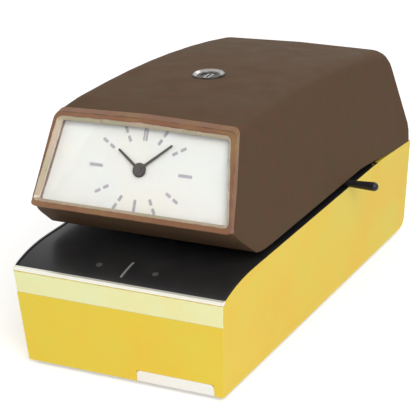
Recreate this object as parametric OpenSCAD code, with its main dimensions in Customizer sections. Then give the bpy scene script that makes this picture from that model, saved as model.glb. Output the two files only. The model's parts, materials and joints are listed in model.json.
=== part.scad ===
// Date and time stamp machine: a yellow desk base with a document table, and a brown
// lift-off cover that carries a clock. Lengths are in millimetres.
// +X is the machine's right, +Y its rear, +Z up; z = 0 is the desk under the feet.

/* [Base] */
// Length of the machine, front to rear
machine_l = 300; // [285:1:315]
// Width of the machine over the rim of the base
machine_w = 150; // [146:1:156]
// Height of the rim of the base above its lower edge
rim_h = 70.8; // [70:0.1:71.5]
// Height of the rim above the front edge of the document table
nose_h = 6; // [5:0.1:7.5]
// Height of the rim above its own rear end
tail_h = 4; // [3:0.1:6]
// How far each side of the base draws in towards its lower edge
base_draft = 4.7; // [2:0.1:6]
// How far the front leans back at its lower edge
front_lean = 1.8; // [0:0.1:4]
// How far the rear leans in at its lower edge
rear_lean = 4.5; // [0:0.1:4.5]
// Wall of the base
base_wall = 3; // [2:0.1:3.4]
// Thickness of the bottom plate
floor_t = 1.5; // [1:0.1:2]
// Height of the rubber feet under the base
foot_h = 3; // [2:0.1:6]
// Radius of the rubber feet
foot_r = 9; // [8:0.5:12]
// Thickness of the rim beside the table
rim_t = 0.9; // [0.8:0.1:1.2]
// Gap between the side of the rim and the middle of each foot
foot_gap_x = 31; // [30:1:35]
// Gap between the end of the base and the middle of each foot
foot_gap_y = 25; // [25:1:30]
// Radius of the screw hole through each foot
foot_hole_r = 2.6; // [2:0.1:3]

/* [Front trim] */
// Height of the lower edge of the pale band
band_low = 47.6; // [40:0.1:55]
// Thickness of the pale band and of the badge plate
band_t = 0.8; // [0.5:0.1:1.5]
// Height of the bright lip in front of the table
lip_h = 2.5; // [1.5:0.1:4]
// Width of the bare badge plate
badge_w = 54; // [40:1:60]
// Height of the bare badge plate
badge_h = 7.4; // [5:0.1:10]

/* [Table and throat] */
// Thickness of the table plate
table_t = 1.5; // [1:0.1:2]
// Height of the throat between the rim and the cover
throat_h = 5.8; // [5.4:0.1:6.4]
// Thickness of the head plate above the throat
head_t = 1.5; // [1:0.1:1.5]
// Radius of the stop lever
lever_r = 2.4; // [1.5:0.1:2.4]
// Radius of the grip on the end of the lever
grip_r = 3.1; // [2.5:0.1:3.4]
// Distance from the middle of the machine to the tip of the lever
lever_reach = 96.5; // [86:0.5:110]
// Distance of the lever behind the middle of the machine
lever_y = 35; // [30:0.5:36]
// Travel of the lever towards the front
stop_fore = 40; // [20:1:40]
// Travel of the lever towards the rear
stop_aft = 18; // [8:1:18]

/* [Cover] */
// Height of the top of the cover above the lower edge of the base
cover_h = 159; // [156:0.5:165]
// Wall of the cover
cover_wall = 2.5; // [2:0.1:3]
// How far each side of the cover leans in between the rim and the top
cover_lean = 11.5; // [8:0.5:12]
// Radius of the soft ridge along the top of each side
ridge_r = 9; // [4:0.5:11]

/* [Clock] */
// Height of the clock face along its slope
face_h = 62.7; // [60:0.1:64]
// Width of the rails round the dial
bezel_rail = 5.4; // [5:0.1:8]
// Thickness of the bezel in front of the cover
bezel_t = 4; // [3:0.1:5]
// Depth of the dial behind the front of the bezel
dial_depth = 6.5; // [6:0.1:8]
// Length of the hour hand
hour_hand_l = 20; // [14:0.5:22]
// Length of the minute hand
minute_hand_l = 26.8; // [18:0.2:26.8]
// Width of the hands
hand_w = 2; // [1:0.1:3]

/* [Lock] */
// Radius of the bright ring round the lock
lock_ring_r = 10.8; // [10:0.1:13]
// Radius of the lock's barrel
lock_barrel_r = 7.6; // [6:0.1:8]
// Radius of the turning plug
lock_plug_r = 5.6; // [4:0.1:5.6]

/* [Print works] */
// Thickness of the two side frames
frame_t = 2.5; // [2:0.1:3]
// Distance between the two side frames
frame_gap = 112; // [110:1:114]
// Radius of the type wheels
type_r = 15; // [13:0.5:16]
// Radius of the shaft of the type wheels
type_shaft_r = 3; // [2.5:0.1:4]
// Radius of the hammer's pivot shaft
hammer_shaft_r = 4; // [3:0.1:5]
// Radius of the ribbon spools' flanges
spool_r = 11; // [10:0.1:11]
// Radius of the solenoid's plunger
plunger_r = 5; // [3.5:0.1:6]
// Radius of the drive motor
motor_r = 20; // [14:0.5:20]

/* [Hidden] */
$fn = 48;

// Clearances
slip = 0.05; // between a shaft and the bore it runs in
seat = 0.3; // between two pieces that rest on each other
seat_play = 0.05; // between a piece and the seat that it fills
side_gap = 0.3; // between the table plate and the sides
cut = 1; // how far a cutter runs past a face

// Colours
yellow = [0.89, 0.80, 0.32];
cream = [0.92, 0.91, 0.70];
brown = [0.36, 0.29, 0.22];
copper = [0.62, 0.44, 0.33];
black = [0.10, 0.10, 0.10];
bright = [0.85, 0.85, 0.86];
steel = [0.62, 0.63, 0.65];
zinc = [0.70, 0.68, 0.60];
brass = [0.76, 0.62, 0.32];
ivory = [0.94, 0.93, 0.90];
rubber = [0.15, 0.15, 0.15];
board_green = [0.15, 0.38, 0.22];

// Points of a smooth bend from a to c that aims at b, in n steps
function bend(a, b, c, n) = [
    for (i = [0:n])
        let (t = i / n)
            (1 - t) * (1 - t) * a + 2 * t * (1 - t) * b + t * t * c
];
function towards(a, b, d) = a + d * (b - a) / norm(b - a);
// An outline with each corner rounded over a length r
function soften(outline, r, n = 4) = [
    for (i = [0:len(outline) - 1])
        let (
            before = outline[(i + len(outline) - 1) % len(outline)],
            corner = outline[i],
            after = outline[(i + 1) % len(outline)]
        )
            each bend(towards(corner, before, r), corner, towards(corner, after, r), n)
];

// The same points on the other side of the middle, in the opposite order
function flipped(points) = [for (i = [len(points) - 1:-1:0]) [-points[i][0], points[i][1]]];

// Everything but the feet is drawn from the lower edge of the base
module lift() {
    translate([0, 0, foot_h])
        children();
}
// A side view, [y, z], made w wide about the middle of the machine
module across(w) {
    rotate([90, 0, 90])
        linear_extrude(height = w, center = true)
            children();
}
// A side view, [y, z], made w wide from x to the right
module across_from(x, w) {
    translate([x, 0, 0])
        rotate([90, 0, 90])
            linear_extrude(height = w)
                children();
}
// A front view, [x, z], made l long from y to the rear
module along_from(y, l) {
    translate([0, y + l, 0])
        rotate([90, 0, 0])
            linear_extrude(height = l)
                children();
}
// A rod of radius r along X at [y, z]
module cross_rod(x, w, at, r) {
    across_from(x, w)
        translate(at)
            circle(r = r);
}
// A rod of radius r along Y at [x, z]
module long_rod(y, l, at, r) {
    along_from(y, l)
        translate(at)
            circle(r = r);
}
module box(low, high) {
    translate(low)
        cube(high - low);
}

// ---------------------------------------------------------------- base

front_y = -machine_l / 2;
rear_y = machine_l / 2;
half_w = machine_w / 2;
nose_z = rim_h - nose_h;
tail_z = rim_h - tail_h;
trim_depth = 3;
roll_l = 42;
tail_l = 75;
heel_r = 8;

// The rim of the base in side view, lowered by d
function rim_line(d = 0) = concat(
    bend(
        [front_y + trim_depth, nose_z - d],
        [front_y + roll_l * 0.45, rim_h - d],
        [front_y + roll_l, rim_h - d],
        8
    ),
    bend(
        [rear_y - tail_l, rim_h - d],
        [rear_y - tail_l * 0.6, rim_h - 0.6 - d],
        [rear_y, tail_z - d],
        5
    )
);
// Places on the outside of the base
function front_at(z) = front_y + front_lean * (1 - z / nose_z);
function rear_at(z) = rear_y - rear_lean * (1 - z / tail_z);
function side_at(z) = half_w - base_draft * (1 - z / rim_h);

module base_side_view() {
    polygon(concat(
        [[front_at(0), 0], [front_y, nose_z]],
        rim_line(),
        bend([rear_at(heel_r), heel_r], [rear_at(0), 0], [rear_at(0) - heel_r, 0], 5)
    ));
}
module base_side_hollow() {
    polygon(concat(
        [
            [front_at(0) + base_wall, -cut],
            [front_y + base_wall, nose_z],
            [front_y + base_wall, rim_h + cut],
            [rear_y - base_wall, rim_h + cut],
            [rear_y - base_wall, tail_z]
        ],
        bend(
            [rear_at(heel_r + base_wall) - base_wall, heel_r + base_wall],
            [rear_at(base_wall) - base_wall, base_wall],
            [rear_at(0) - heel_r - base_wall, base_wall],
            5
        ),
        [[rear_at(0) - heel_r - base_wall, -cut]]
    ));
}
module base_front_view(inset = 0) {
    top = rim_h + cut;
    polygon([
        [-side_at(-cut) + inset, -cut],
        [side_at(-cut) - inset, -cut],
        [side_at(rim_h) - inset, rim_h],
        [side_at(rim_h) - inset, top],
        [-side_at(rim_h) + inset, top],
        [-side_at(rim_h) + inset, rim_h]
    ]);
}
// A slab on the front of the base between two heights, t thick and flush with the outside
module front_slab(low, high, t, proud = 0) {
    across(machine_w + 2 * cut)
        polygon([
            [front_at(low) - proud, low],
            [front_at(low) + t, low],
            [front_at(high) + t, high],
            [front_at(high) - proud, high]
        ]);
}
lip_low = nose_z - lip_h;
band_gap = 0.5;
boss_r = 6.5;
boss_h = 30;
boss_x = side_at(0) - base_wall - boss_r + 1.2;
boss_front_y = front_at(0) + base_wall + boss_r + 1;
floor_rear_y = rear_at(0) - heel_r - base_wall - 0.4;
boss_rear_y = floor_rear_y - boss_r;
floor_z = 1;
floor_top = floor_z + floor_t;
pilot_r = 1.6;
bush_x = -38;
bush_z = 26;
bush_r = 7;
badge_x = 10;
badge_z = 0.2;

// Children are drawn from the bush's place on the outside of the rear wall, with y square to it
module at_bush() {
    translate([bush_x, rear_at(bush_z), bush_z])
        rotate([-atan(rear_lean / tail_z), 0, 0])
            children();
}
module boss_places() {
    for (x = [-boss_x, boss_x])
        for (y = [boss_front_y, boss_rear_y])
            translate([x, y, 0])
                children();
}
module base_shell() {
    color(yellow)
        lift()
            difference() {
                union() {
                    difference() {
                        intersection() {
                            across(machine_w + 2 * cut)
                                base_side_view();
                            along_from(front_y - cut, machine_l + 2 * cut)
                                base_front_view();
                        }
                        intersection() {
                            across(machine_w)
                                base_side_hollow();
                            along_from(front_y, machine_l)
                                base_front_view(base_wall);
                        }
                    }
                    boss_places()
                        translate([0, 0, floor_top + seat])
                            cylinder(r = boss_r, h = boss_h);
                }
                boss_places()
                    cylinder(r = pilot_r, h = boss_h);
                // the seat of the table plate, which leaves a thin rim on each side
                across(2 * (table_half + side_gap))
                    intersection() {
                        polygon(concat(
                            [[rear_y, cover_h], [front_y, cover_h]],
                            rim_line(table_sink + table_t + seat)
                        ));
                        translate([front_y, 0])
                            square([table_rear_y + seat - front_y, cover_h]);
                    }
                // the seat of the bright lip, right across the front
                box([-half_w - cut, front_y - cut, lip_low - 0.1], [half_w + cut, front_y + trim_depth, rim_h]);
                // the shallow recesses of the band and of the badge
                front_slab(band_low - 0.1, lip_low - band_gap + 0.1, band_t + 0.05, cut);
                intersection() {
                    front_slab(-cut, badge_z + badge_h + 0.1, band_t + 0.05, cut);
                    box([badge_x - 0.1, front_y - 5, -cut], [badge_x + badge_w + 0.1, 0, rim_h]);
                }
                at_bush()
                    long_rod(-2 * base_wall, 3 * base_wall, [0, 0], bush_r + slip);
            }
}

foot_neck_r = 5;
foot_flange_r = 7;
foot_flange_h = 1.5;
module foot_places() {
    for (x = [-half_w + foot_gap_x, half_w - foot_gap_x])
        for (y = [front_y + foot_gap_y, rear_y - foot_gap_y])
            translate([x, y, 0])
                children();
}
module bottom_plate() {
    color(steel)
        lift()
            difference() {
                box(
                    [-side_at(0) + base_wall + 0.4, front_at(0) + base_wall + 0.4, floor_z],
                    [side_at(0) - base_wall - 0.4, floor_rear_y, floor_top]
                );
                foot_places()
                    cylinder(r = foot_neck_r + slip, h = boss_h, center = true);
                boss_places()
                    cylinder(r = pilot_r + 0.2, h = boss_h, center = true);
                chassis_screw_places()
                    cylinder(r = pilot_r + 0.2, h = boss_h, center = true);
            }
}
// A foot is a grommet: its flange lies on the bottom plate and its bore takes a desk screw
module rubber_feet() {
    color(rubber)
        foot_places()
            difference() {
                rotate_extrude()
                    polygon([
                        [0, 0],
                        [foot_r - 1, 0],
                        [foot_r, 1],
                        [foot_r, foot_h + floor_z],
                        [foot_neck_r, foot_h + floor_z],
                        [foot_neck_r, foot_h + floor_top],
                        [foot_flange_r, foot_h + floor_top],
                        [foot_flange_r, foot_h + floor_top + foot_flange_h],
                        [0, foot_h + floor_top + foot_flange_h]
                    ]);
                translate([0, 0, -cut])
                    cylinder(r = foot_hole_r, h = foot_h + boss_h);
            }
}
nut_h = 4;
module mounting_nuts() {
    color(zinc)
        lift()
            foot_places()
                translate([0, 0, floor_top + foot_flange_h])
                    difference() {
                        cylinder(r = foot_hole_r + 2.1, h = nut_h, $fn = 6);
                        translate([0, 0, -cut])
                            cylinder(r = foot_hole_r, h = nut_h + 2 * cut);
                    }
}
screw_head_r = 3.2;
screw_head_h = 0.8;
// A screw that stands up from z = 0 with its head below
module low_screw(l) {
    translate([0, 0, -screw_head_h])
        cylinder(r = screw_head_r, h = screw_head_h);
    cylinder(r = pilot_r - slip, h = l);
}
module bottom_screws() {
    color(zinc)
        lift()
            boss_places()
                translate([0, 0, floor_z])
                    low_screw(14);
}
module chassis_screw_places() {
    for (x = [-frame_in + 7, frame_in - 7])
        for (y = [frame_front_y + 12, column_y + 8])
            translate([x, y, 0])
                children();
}
module chassis_screws() {
    color(zinc)
        lift()
            chassis_screw_places()
                translate([0, 0, floor_z])
                    low_screw(7);
}

module front_band() {
    color(cream)
        lift()
            intersection() {
                front_slab(band_low, lip_low - band_gap, band_t);
                along_from(front_y - cut, 20)
                    base_front_view(0.3);
            }
}
module badge_plate() {
    color(ivory)
        lift()
            intersection() {
                front_slab(badge_z, badge_z + badge_h, band_t);
                box([badge_x, front_y - cut, 0], [badge_x + badge_w, 0, rim_h]);
            }
}
module table_trim() {
    color(bright)
        lift()
            intersection() {
                across(machine_w)
                    polygon([
                        [front_y, lip_low],
                        [front_y - 0.2, lip_low + 0.6],
                        [front_y + 0.2, nose_z - 0.2],
                        [front_y + trim_depth - 0.05, nose_z],
                        [front_y + trim_depth - 0.05, lip_low]
                    ]);
                along_from(front_y - cut, 20)
                    base_front_view(0.1);
            }
}

// ---------------------------------------------------------------- table

table_sink = 0.5;
table_top = rim_h - table_sink;
table_under = table_top - table_t;
column_y = rear_y - 66;
table_rear_y = column_y - 1;
table_half = side_at(lip_low) - rim_t - side_gap;
print_y = -50;
window_x = 31;
window_y = 11;

module table_side_view(sink, t) {
    intersection() {
        polygon(concat(
            rim_line(sink),
            [for (i = [len(rim_line()) - 1:-1:0]) rim_line(sink + t)[i]]
        ));
        translate([front_y + trim_depth + 0.05, 0])
            square([table_rear_y - front_y - trim_depth - 0.05, cover_h]);
    }
}
module table_plate() {
    color(black)
        lift()
            difference() {
                across(2 * table_half)
                    table_side_view(table_sink, table_t);
                box(
                    [-window_x, print_y - window_y, 0],
                    [window_x, print_y + window_y, cover_h]
                );
            }
}
// The centre line and the two spots that show where the stamp will fall
mark_t = 0.15;
mark_near = 8;
mark_far = 24;
spot_gap = 20;
spot_r = 2;
module table_marks() {
    color(bright)
        lift()
            intersection() {
                across(4 * spot_gap)
                    table_side_view(table_sink - mark_t, mark_t);
                union() {
                    box([-0.4, front_y + mark_near, 0], [0.4, front_y + mark_far, cover_h]);
                    for (x = [-spot_gap, spot_gap])
                        translate([x, front_y + mark_far - 8, 0])
                            cylinder(r = spot_r, h = cover_h);
                }
            }
}

// ---------------------------------------------------------------- frames

frame_in = frame_gap / 2;
frame_out = frame_in + frame_t;
frame_front_y = front_y + 38;
frame_rear_y = rear_y - 32;
arm_front_y = front_y + 62;
arm_top = 112;
column_top = arm_top + 1;
head_z = rim_h + throat_h + 0.2;
head_top = head_z + head_t;
frame_foot = floor_top;
hammer_at = [40, 44];
rod_r = 2.5;
rod_places = [
    [frame_front_y + 8, 12], [frame_front_y + 8, 58],
    [frame_rear_y - 8, 20], [frame_rear_y - 8, column_top - 8]
];

module frame_side_view() {
    difference() {
        polygon(soften([
            [frame_front_y, frame_foot],
            [frame_rear_y, frame_foot],
            [frame_rear_y, column_top],
            [column_y, column_top],
            [column_y - 14, arm_top],
            [arm_front_y, arm_top],
            [arm_front_y, head_z + 0.8],
            [column_y + 2, head_z + 0.8],
            [column_y + 2, table_under - seat],
            [front_y + roll_l + 20, table_under - seat],
            [frame_front_y, table_under - seat - 1.5]
        ], 2));
        translate(hammer_at)
            circle(r = hammer_shaft_r + slip);
        for (at = rod_places)
            translate(at)
                circle(r = pilot_r + 0.2);
    }
}
// The right frame; its two feet turn in over the bottom plate
foot_turn = 14;
module frame() {
    lift()
        difference() {
            union() {
                across_from(frame_in, frame_t)
                    frame_side_view();
                box(
                    [frame_in - foot_turn, frame_front_y + 2, frame_foot],
                    [frame_in + 0.1, frame_front_y + 26, frame_foot + 2]
                );
                box(
                    [frame_in - foot_turn, column_y - 4, frame_foot],
                    [frame_in + 0.1, frame_rear_y - 2, frame_foot + 2]
                );
            }
            chassis_screw_places()
                cylinder(r = pilot_r, h = boss_h);
        }
}
module left_frame() {
    color(steel)
        mirror([1, 0, 0])
            frame();
}
module right_frame() {
    color(steel)
        frame();
}
module tie_rods() {
    color(zinc)
        lift()
            for (at = rod_places)
                difference() {
                    cross_rod(-frame_in, frame_gap, at, rod_r);
                    for (x = [-frame_in - cut, frame_in - 10])
                        cross_rod(x, 10 + cut, at, pilot_r);
                }
}
module frame_screws() {
    color(zinc)
        lift()
            for (at = rod_places)
                for (side = [0, 1])
                    mirror([side, 0, 0]) {
                        cross_rod(frame_out, 1.6, at, 3.4);
                        cross_rod(frame_out - 8, 8, at, pilot_r - slip);
                    }
}
// The roof of the throat, with the print window and the slots of the stop
head_front_y = front_y + 54;
slot_w = 7;
post_places = [-8, 40];
finger_x = 14;
trigger_lead = 8;
slot_front = lever_y - trigger_lead - stop_fore - 7;
slot_rear = lever_y + stop_aft + 9;
module head_plate() {
    color(steel)
        lift()
            difference() {
                box(
                    [-frame_in + 0.1, head_front_y, head_z],
                    [frame_in - 0.1, column_y, head_top]
                );
                box(
                    [-window_x, print_y - window_y, 0],
                    [window_x, print_y + window_y, cover_h]
                );
                for (x = concat(post_places, [finger_x]))
                    box(
                        [x - slot_w / 2, slot_front, 0],
                        [x + slot_w / 2, slot_rear, cover_h]
                    );
            }
}

// ---------------------------------------------------------------- type wheels

type_z = head_top + 0.5 + type_r;
type_at = [print_y, type_z];
wheel_w = 7;
wheel_gap = 1;
gear_w = 4;
gear_m = 1;
// The wheels from the left along their shaft: minute, hour, date, month and year
wheel_widths = [wheel_w, wheel_w, wheel_w, wheel_w + 3, wheel_w];
stack_left = -24;
function wheel_left(i) = i == 0
    ? stack_left + gear_w + wheel_gap / 2
    : wheel_left(i - 1) + wheel_widths[i - 1] + wheel_gap;
type_depth = 1.2;

// The outline of a wheel with n raised type lands
module type_outline(n) {
    step = 360 / n;
    polygon([
        for (i = [0:n - 1])
            for (p = [[-0.4, type_depth], [-0.3, 0], [0.3, 0], [0.4, type_depth]])
                let (a = (i + p[0]) * step, r = type_r - p[1])
                    [r * cos(a), r * sin(a)]
    ]);
}
module type_wheel(i, n, phase = 0) {
    lift()
        across_from(wheel_left(i), wheel_widths[i])
            translate(type_at)
                difference() {
                    rotate(phase)
                        type_outline(n);
                    circle(r = type_shaft_r + slip);
                }
}
// The outline of a gear of n teeth, with a tooth at angle 0
module gear_outline(n) {
    pitch = 360 / n;
    root_r = gear_m * (n / 2 - 1.1);
    tip_r = gear_m * (n / 2 + 0.75);
    polygon([
        for (i = [0:n - 1])
            for (p = [[-0.27, root_r], [-0.12, tip_r], [0.12, tip_r], [0.27, root_r]])
                let (a = (i + p[0]) * pitch)
                    [p[1] * cos(a), p[1] * sin(a)]
    ]);
}
minute_teeth = 24;
idler_teeth = 36;
pinion_teeth = 12;
idler_angle = 20;
pinion_angle = 10;
function pitch_r(n) = gear_m * n / 2;
idler_at = type_at
    + (pitch_r(minute_teeth) + pitch_r(idler_teeth)) * [cos(idler_angle), sin(idler_angle)];
motor_at = idler_at
    + (pitch_r(idler_teeth) + pitch_r(pinion_teeth)) * [cos(pinion_angle), sin(pinion_angle)];
// The turn of a gear of n_b teeth that meshes, in direction a, with one of n_a teeth turned by t
function mesh_turn(t, a, n_a, n_b) = a + 180 + 180 / n_b - (t - a) * n_a / n_b;
idler_turn = mesh_turn(0, idler_angle, minute_teeth, idler_teeth);
pinion_turn = mesh_turn(idler_turn, pinion_angle, idler_teeth, pinion_teeth);
idler_stud_r = 2;
type_in = 26.5;
type_out = type_in + 2;
print_half = 13;
motor_shaft_r = 1.5;
motor_face_x = -frame_in + 20;

module minute_type_wheel() {
    color(brass)
        union() {
            type_wheel(0, 30);
            lift()
                across_from(stack_left, gear_w + 0.6)
                    translate(type_at)
                        difference() {
                            gear_outline(minute_teeth);
                            circle(r = type_shaft_r + slip);
                        }
        }
}
module hour_type_wheel() {
    color(brass)
        type_wheel(1, 24);
}
module date_type_wheel() {
    color(brass)
        type_wheel(2, 31);
}
module month_type_wheel() {
    color(brass)
        type_wheel(3, 12);
}
module year_type_wheel() {
    color(brass)
        type_wheel(4, 16);
}
// The shaft carries two collars that keep the wheels in their places
module type_shaft() {
    collar_r = type_shaft_r + 3;
    right_end = wheel_left(4) + wheel_widths[4];
    color(steel)
        lift() {
            cross_rod(-type_out, 2 * type_out, type_at, type_shaft_r);
            cross_rod(-type_in, stack_left - 0.5 + type_in, type_at, collar_r);
            cross_rod(right_end + 0.5, type_in - right_end - 0.5, type_at, collar_r);
        }
}
// Two brackets on the head plate carry the shaft; the left one also carries the idler's stud
module type_bracket_view() {
    reach = print_half + 6;
    polygon([
        [print_y - reach, head_top], [print_y - print_half, head_top],
        [print_y - print_half + 2, head_top + 3], [print_y + print_half - 2, head_top + 3],
        [print_y + print_half, head_top], [print_y + reach, head_top],
        [print_y + 9, type_z + 9], [print_y - 9, type_z + 9]
    ]);
}
module type_brackets() {
    color(steel)
        lift() {
            across_from(type_in, type_out - type_in)
                difference() {
                    type_bracket_view();
                    translate(type_at)
                        circle(r = type_shaft_r + slip);
                }
            across_from(-type_out, type_out - type_in)
                difference() {
                    union() {
                        type_bracket_view();
                        polygon([
                            [print_y, type_z + 9], [print_y, type_z - 6],
                            idler_at + [5, -5], idler_at + [5, 5]
                        ]);
                    }
                    translate(type_at)
                        circle(r = type_shaft_r + slip);
                }
            cross_rod(-type_in - 0.1, type_in + stack_left + gear_w + cut, idler_at, idler_stud_r);
            cross_rod(-type_in - 0.1, type_in + stack_left - 0.4, idler_at, idler_stud_r + 1);
            cross_rod(stack_left + gear_w + 0.5, 1, idler_at, idler_stud_r + 1);
        }
}
module idler_gear() {
    color(ivory)
        lift()
            across_from(stack_left, gear_w)
                translate(idler_at)
                    difference() {
                        rotate(idler_turn)
                            gear_outline(idler_teeth);
                        circle(r = idler_stud_r + slip);
                        for (a = [0:60:300])
                            rotate(a)
                                translate([10, 0])
                                    circle(r = 2.6);
                    }
}
module motor_pinion() {
    color(brass)
        lift() {
            across_from(stack_left, gear_w)
                translate(motor_at)
                    rotate(pinion_turn)
                        gear_outline(pinion_teeth);
            cross_rod(motor_face_x - 6, stack_left - motor_face_x + 6 + cut, motor_at, motor_shaft_r);
        }
}
module drive_motor() {
    color(zinc)
        lift()
            difference() {
                union() {
                    cross_rod(-frame_in, motor_face_x + frame_in - 2, motor_at, motor_r);
                    cross_rod(-frame_in, motor_face_x + frame_in, motor_at, motor_r * 0.4);
                }
                cross_rod(motor_face_x - 7, 8, motor_at, motor_shaft_r + slip);
            }
}

// ---------------------------------------------------------------- ribbon

spool_x = 44;
spool_z = head_top + 17.7;
ribbon_w = 12.4;
spool_inner_w = 13;
flange_t = 1;
spool_stud_r = 2;
spool_front_y = print_y - spool_inner_w / 2 - flange_t;
bracket_y = spool_front_y + spool_inner_w + 2 * flange_t + 0.4;
bracket_t = 2;
guide_x = window_x + 2.2;
guide_r = 1.3;
guide_z = head_top + 0.4 + guide_r;
ribbon_t = 0.2;
ribbon_z = head_top + 0.12;

module ribbon_spool(side) {
    color(black)
        lift()
            difference() {
                union() {
                    long_rod(spool_front_y, flange_t, [side * spool_x, spool_z], spool_r);
                    long_rod(
                        spool_front_y + flange_t + spool_inner_w, flange_t,
                        [side * spool_x, spool_z], spool_r
                    );
                    long_rod(
                        spool_front_y, spool_inner_w + 2 * flange_t,
                        [side * spool_x, spool_z], spool_r - 1.7
                    );
                }
                long_rod(
                    spool_front_y - cut, spool_inner_w + 2 * flange_t + 2 * cut,
                    [side * spool_x, spool_z], spool_stud_r + slip
                );
            }
}
module left_ribbon_spool() {
    ribbon_spool(-1);
}
module right_ribbon_spool() {
    ribbon_spool(1);
}
// A bracket on each frame holds the spool's stud and the guide pin
module ribbon_brackets() {
    color(steel)
        lift()
            for (side = [0, 1])
                mirror([side, 0, 0]) {
                    along_from(bracket_y, bracket_t)
                        polygon([
                            [frame_in, guide_z - guide_r],
                            [guide_x - 2, guide_z - guide_r],
                            [guide_x - 2, guide_z + 4],
                            [spool_x - 4, spool_z + 5],
                            [frame_in, spool_z + 5]
                        ]);
                    long_rod(spool_front_y - 1.5, bracket_y - spool_front_y + 1.6, [spool_x, spool_z], spool_stud_r);
                    long_rod(spool_front_y - 1.5, 1.2, [spool_x, spool_z], spool_stud_r + 1);
                    long_rod(spool_front_y, bracket_y - spool_front_y + 0.1, [guide_x, guide_z], guide_r);
                }
}
module ribbon() {
    end = [spool_x, spool_z] + (spool_r - 1.7 + seat) * [-cos(45), -sin(45)];
    low = [guide_x + 1.6, ribbon_z];
    color(black)
        lift()
            along_from(print_y - ribbon_w / 2, ribbon_w)
                polygon([
                    [-end[0], end[1]], [-low[0], low[1]], low, end,
                    end - [ribbon_t, 0], low + [-ribbon_t, ribbon_t],
                    [-low[0] + ribbon_t, low[1] + ribbon_t], [-end[0] + ribbon_t, end[1]]
                ]);
}

// ---------------------------------------------------------------- hammer

arm_w = 8;
pad_y = 14;
pad_x = 54;
pad_t = 3;
pad_top = table_top - 1.7;
arm_rear_y = 80;
plunger_y = 75;
tongue_w = 4;
pin_r = 1.5;
hammer_play = 0.3;

module hammer_arm() {
    beam_front = print_y - pad_y / 2 + 1;
    color(steel)
        lift()
            difference() {
                union() {
                    across(arm_w)
                        polygon(soften([
                            [hammer_at[0] - 7, hammer_at[1] + 8],
                            [hammer_at[0] - 14, hammer_at[1] + 12],
                            [beam_front + 12, hammer_at[1] + 14],
                            [beam_front + 12, pad_top - pad_t - 3],
                            [beam_front, pad_top - pad_t - 3],
                            [beam_front, hammer_at[1] + 7],
                            [hammer_at[0] - 14, hammer_at[1] - 6],
                            [hammer_at[0] + 8, hammer_at[1] - 8],
                            [arm_rear_y, hammer_at[1] - 5],
                            [arm_rear_y, hammer_at[1] + 5],
                            [hammer_at[0] + 8, hammer_at[1] + 8]
                        ], 1.5));
                    cross_rod(-14, 28, hammer_at, hammer_shaft_r + 3);
                    box(
                        [-pad_x / 2, print_y - pad_y / 2 + 1, pad_top - pad_t - 3.5],
                        [pad_x / 2, print_y + pad_y / 2 - 1, pad_top - pad_t]
                    );
                }
                cross_rod(-20, 40, hammer_at, hammer_shaft_r + slip);
                box(
                    [-tongue_w / 2 - hammer_play, plunger_y - 8, 0],
                    [tongue_w / 2 + hammer_play, arm_rear_y + cut, cover_h]
                );
                box(
                    [-arm_w, plunger_y - 3, hammer_at[1] - pin_r - hammer_play],
                    [arm_w, arm_rear_y + cut, hammer_at[1] + pin_r + hammer_play]
                );
            }
}
module hammer_pad() {
    color(rubber)
        lift()
            box(
                [-pad_x / 2, print_y - pad_y / 2, pad_top - pad_t],
                [pad_x / 2, print_y + pad_y / 2, pad_top]
            );
}
module hammer_shaft() {
    color(steel)
        lift() {
            cross_rod(-frame_out, 2 * frame_out, hammer_at, hammer_shaft_r);
            for (side = [0, 1])
                mirror([side, 0, 0])
                    cross_rod(14 + hammer_play, 5, hammer_at, hammer_shaft_r + 3);
        }
}

// The solenoid pulls its plunger down, which tips the arm and throws the pad up
coil_r = 14;
coil_low = 8;
coil_high = 30;
yoke_t = 3;
plunger_low = coil_low + 6;
module solenoid_plunger() {
    color(steel)
        lift() {
            translate([0, plunger_y, plunger_low])
                cylinder(r = plunger_r, h = coil_high + yoke_t + 0.4 - plunger_low);
            box(
                [-tongue_w / 2, plunger_y - 2.5, coil_high + yoke_t],
                [tongue_w / 2, plunger_y + 2.5, hammer_at[1] + 3]
            );
            cross_rod(-arm_w / 2, arm_w, [plunger_y, hammer_at[1]], pin_r);
        }
}
module solenoid_coil() {
    color(copper)
        lift()
            translate([0, plunger_y, coil_low])
                difference() {
                    union() {
                        cylinder(r = coil_r - 1, h = coil_high - coil_low);
                        for (z = [0, coil_high - coil_low - 1.5])
                            translate([0, 0, z])
                                cylinder(r = coil_r, h = 1.5);
                    }
                    translate([0, 0, -cut])
                        cylinder(r = plunger_r + slip, h = coil_high);
                }
}
module solenoid_frame() {
    half = coil_r + 1;
    color(zinc)
        lift()
            difference() {
                union() {
                    box([-half - yoke_t, plunger_y - 9, floor_top], [half + yoke_t, plunger_y + 9, coil_low]);
                    box(
                        [-half - yoke_t, plunger_y - 9, coil_high],
                        [half + yoke_t, plunger_y + 9, coil_high + yoke_t]
                    );
                    for (x = [-half - yoke_t, half])
                        box([x, plunger_y - 9, floor_top], [x + yoke_t, plunger_y + 9, coil_high + 1]);
                }
                translate([0, plunger_y, coil_high - cut])
                    cylinder(r = plunger_r + slip, h = yoke_t + 2 * cut);
            }
}

// ---------------------------------------------------------------- stop and trigger

carriage_z = head_top + 0.3;
carriage_t = 2;
carriage_half_y = 9;
post_w = 6;
post_low = table_top + 0.9;
lever_z = rim_h + 0.4 + lever_r;
lever_left = post_places[0] - post_w / 2 - 2;
grip_left = half_w + 1.5;
trigger_at = [lever_y - trigger_lead, carriage_z + carriage_t + 5];
trigger_pin_r = 1.2;
ear_x = 4.5;
ear_t = 1.5;
finger_w = 5;

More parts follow.
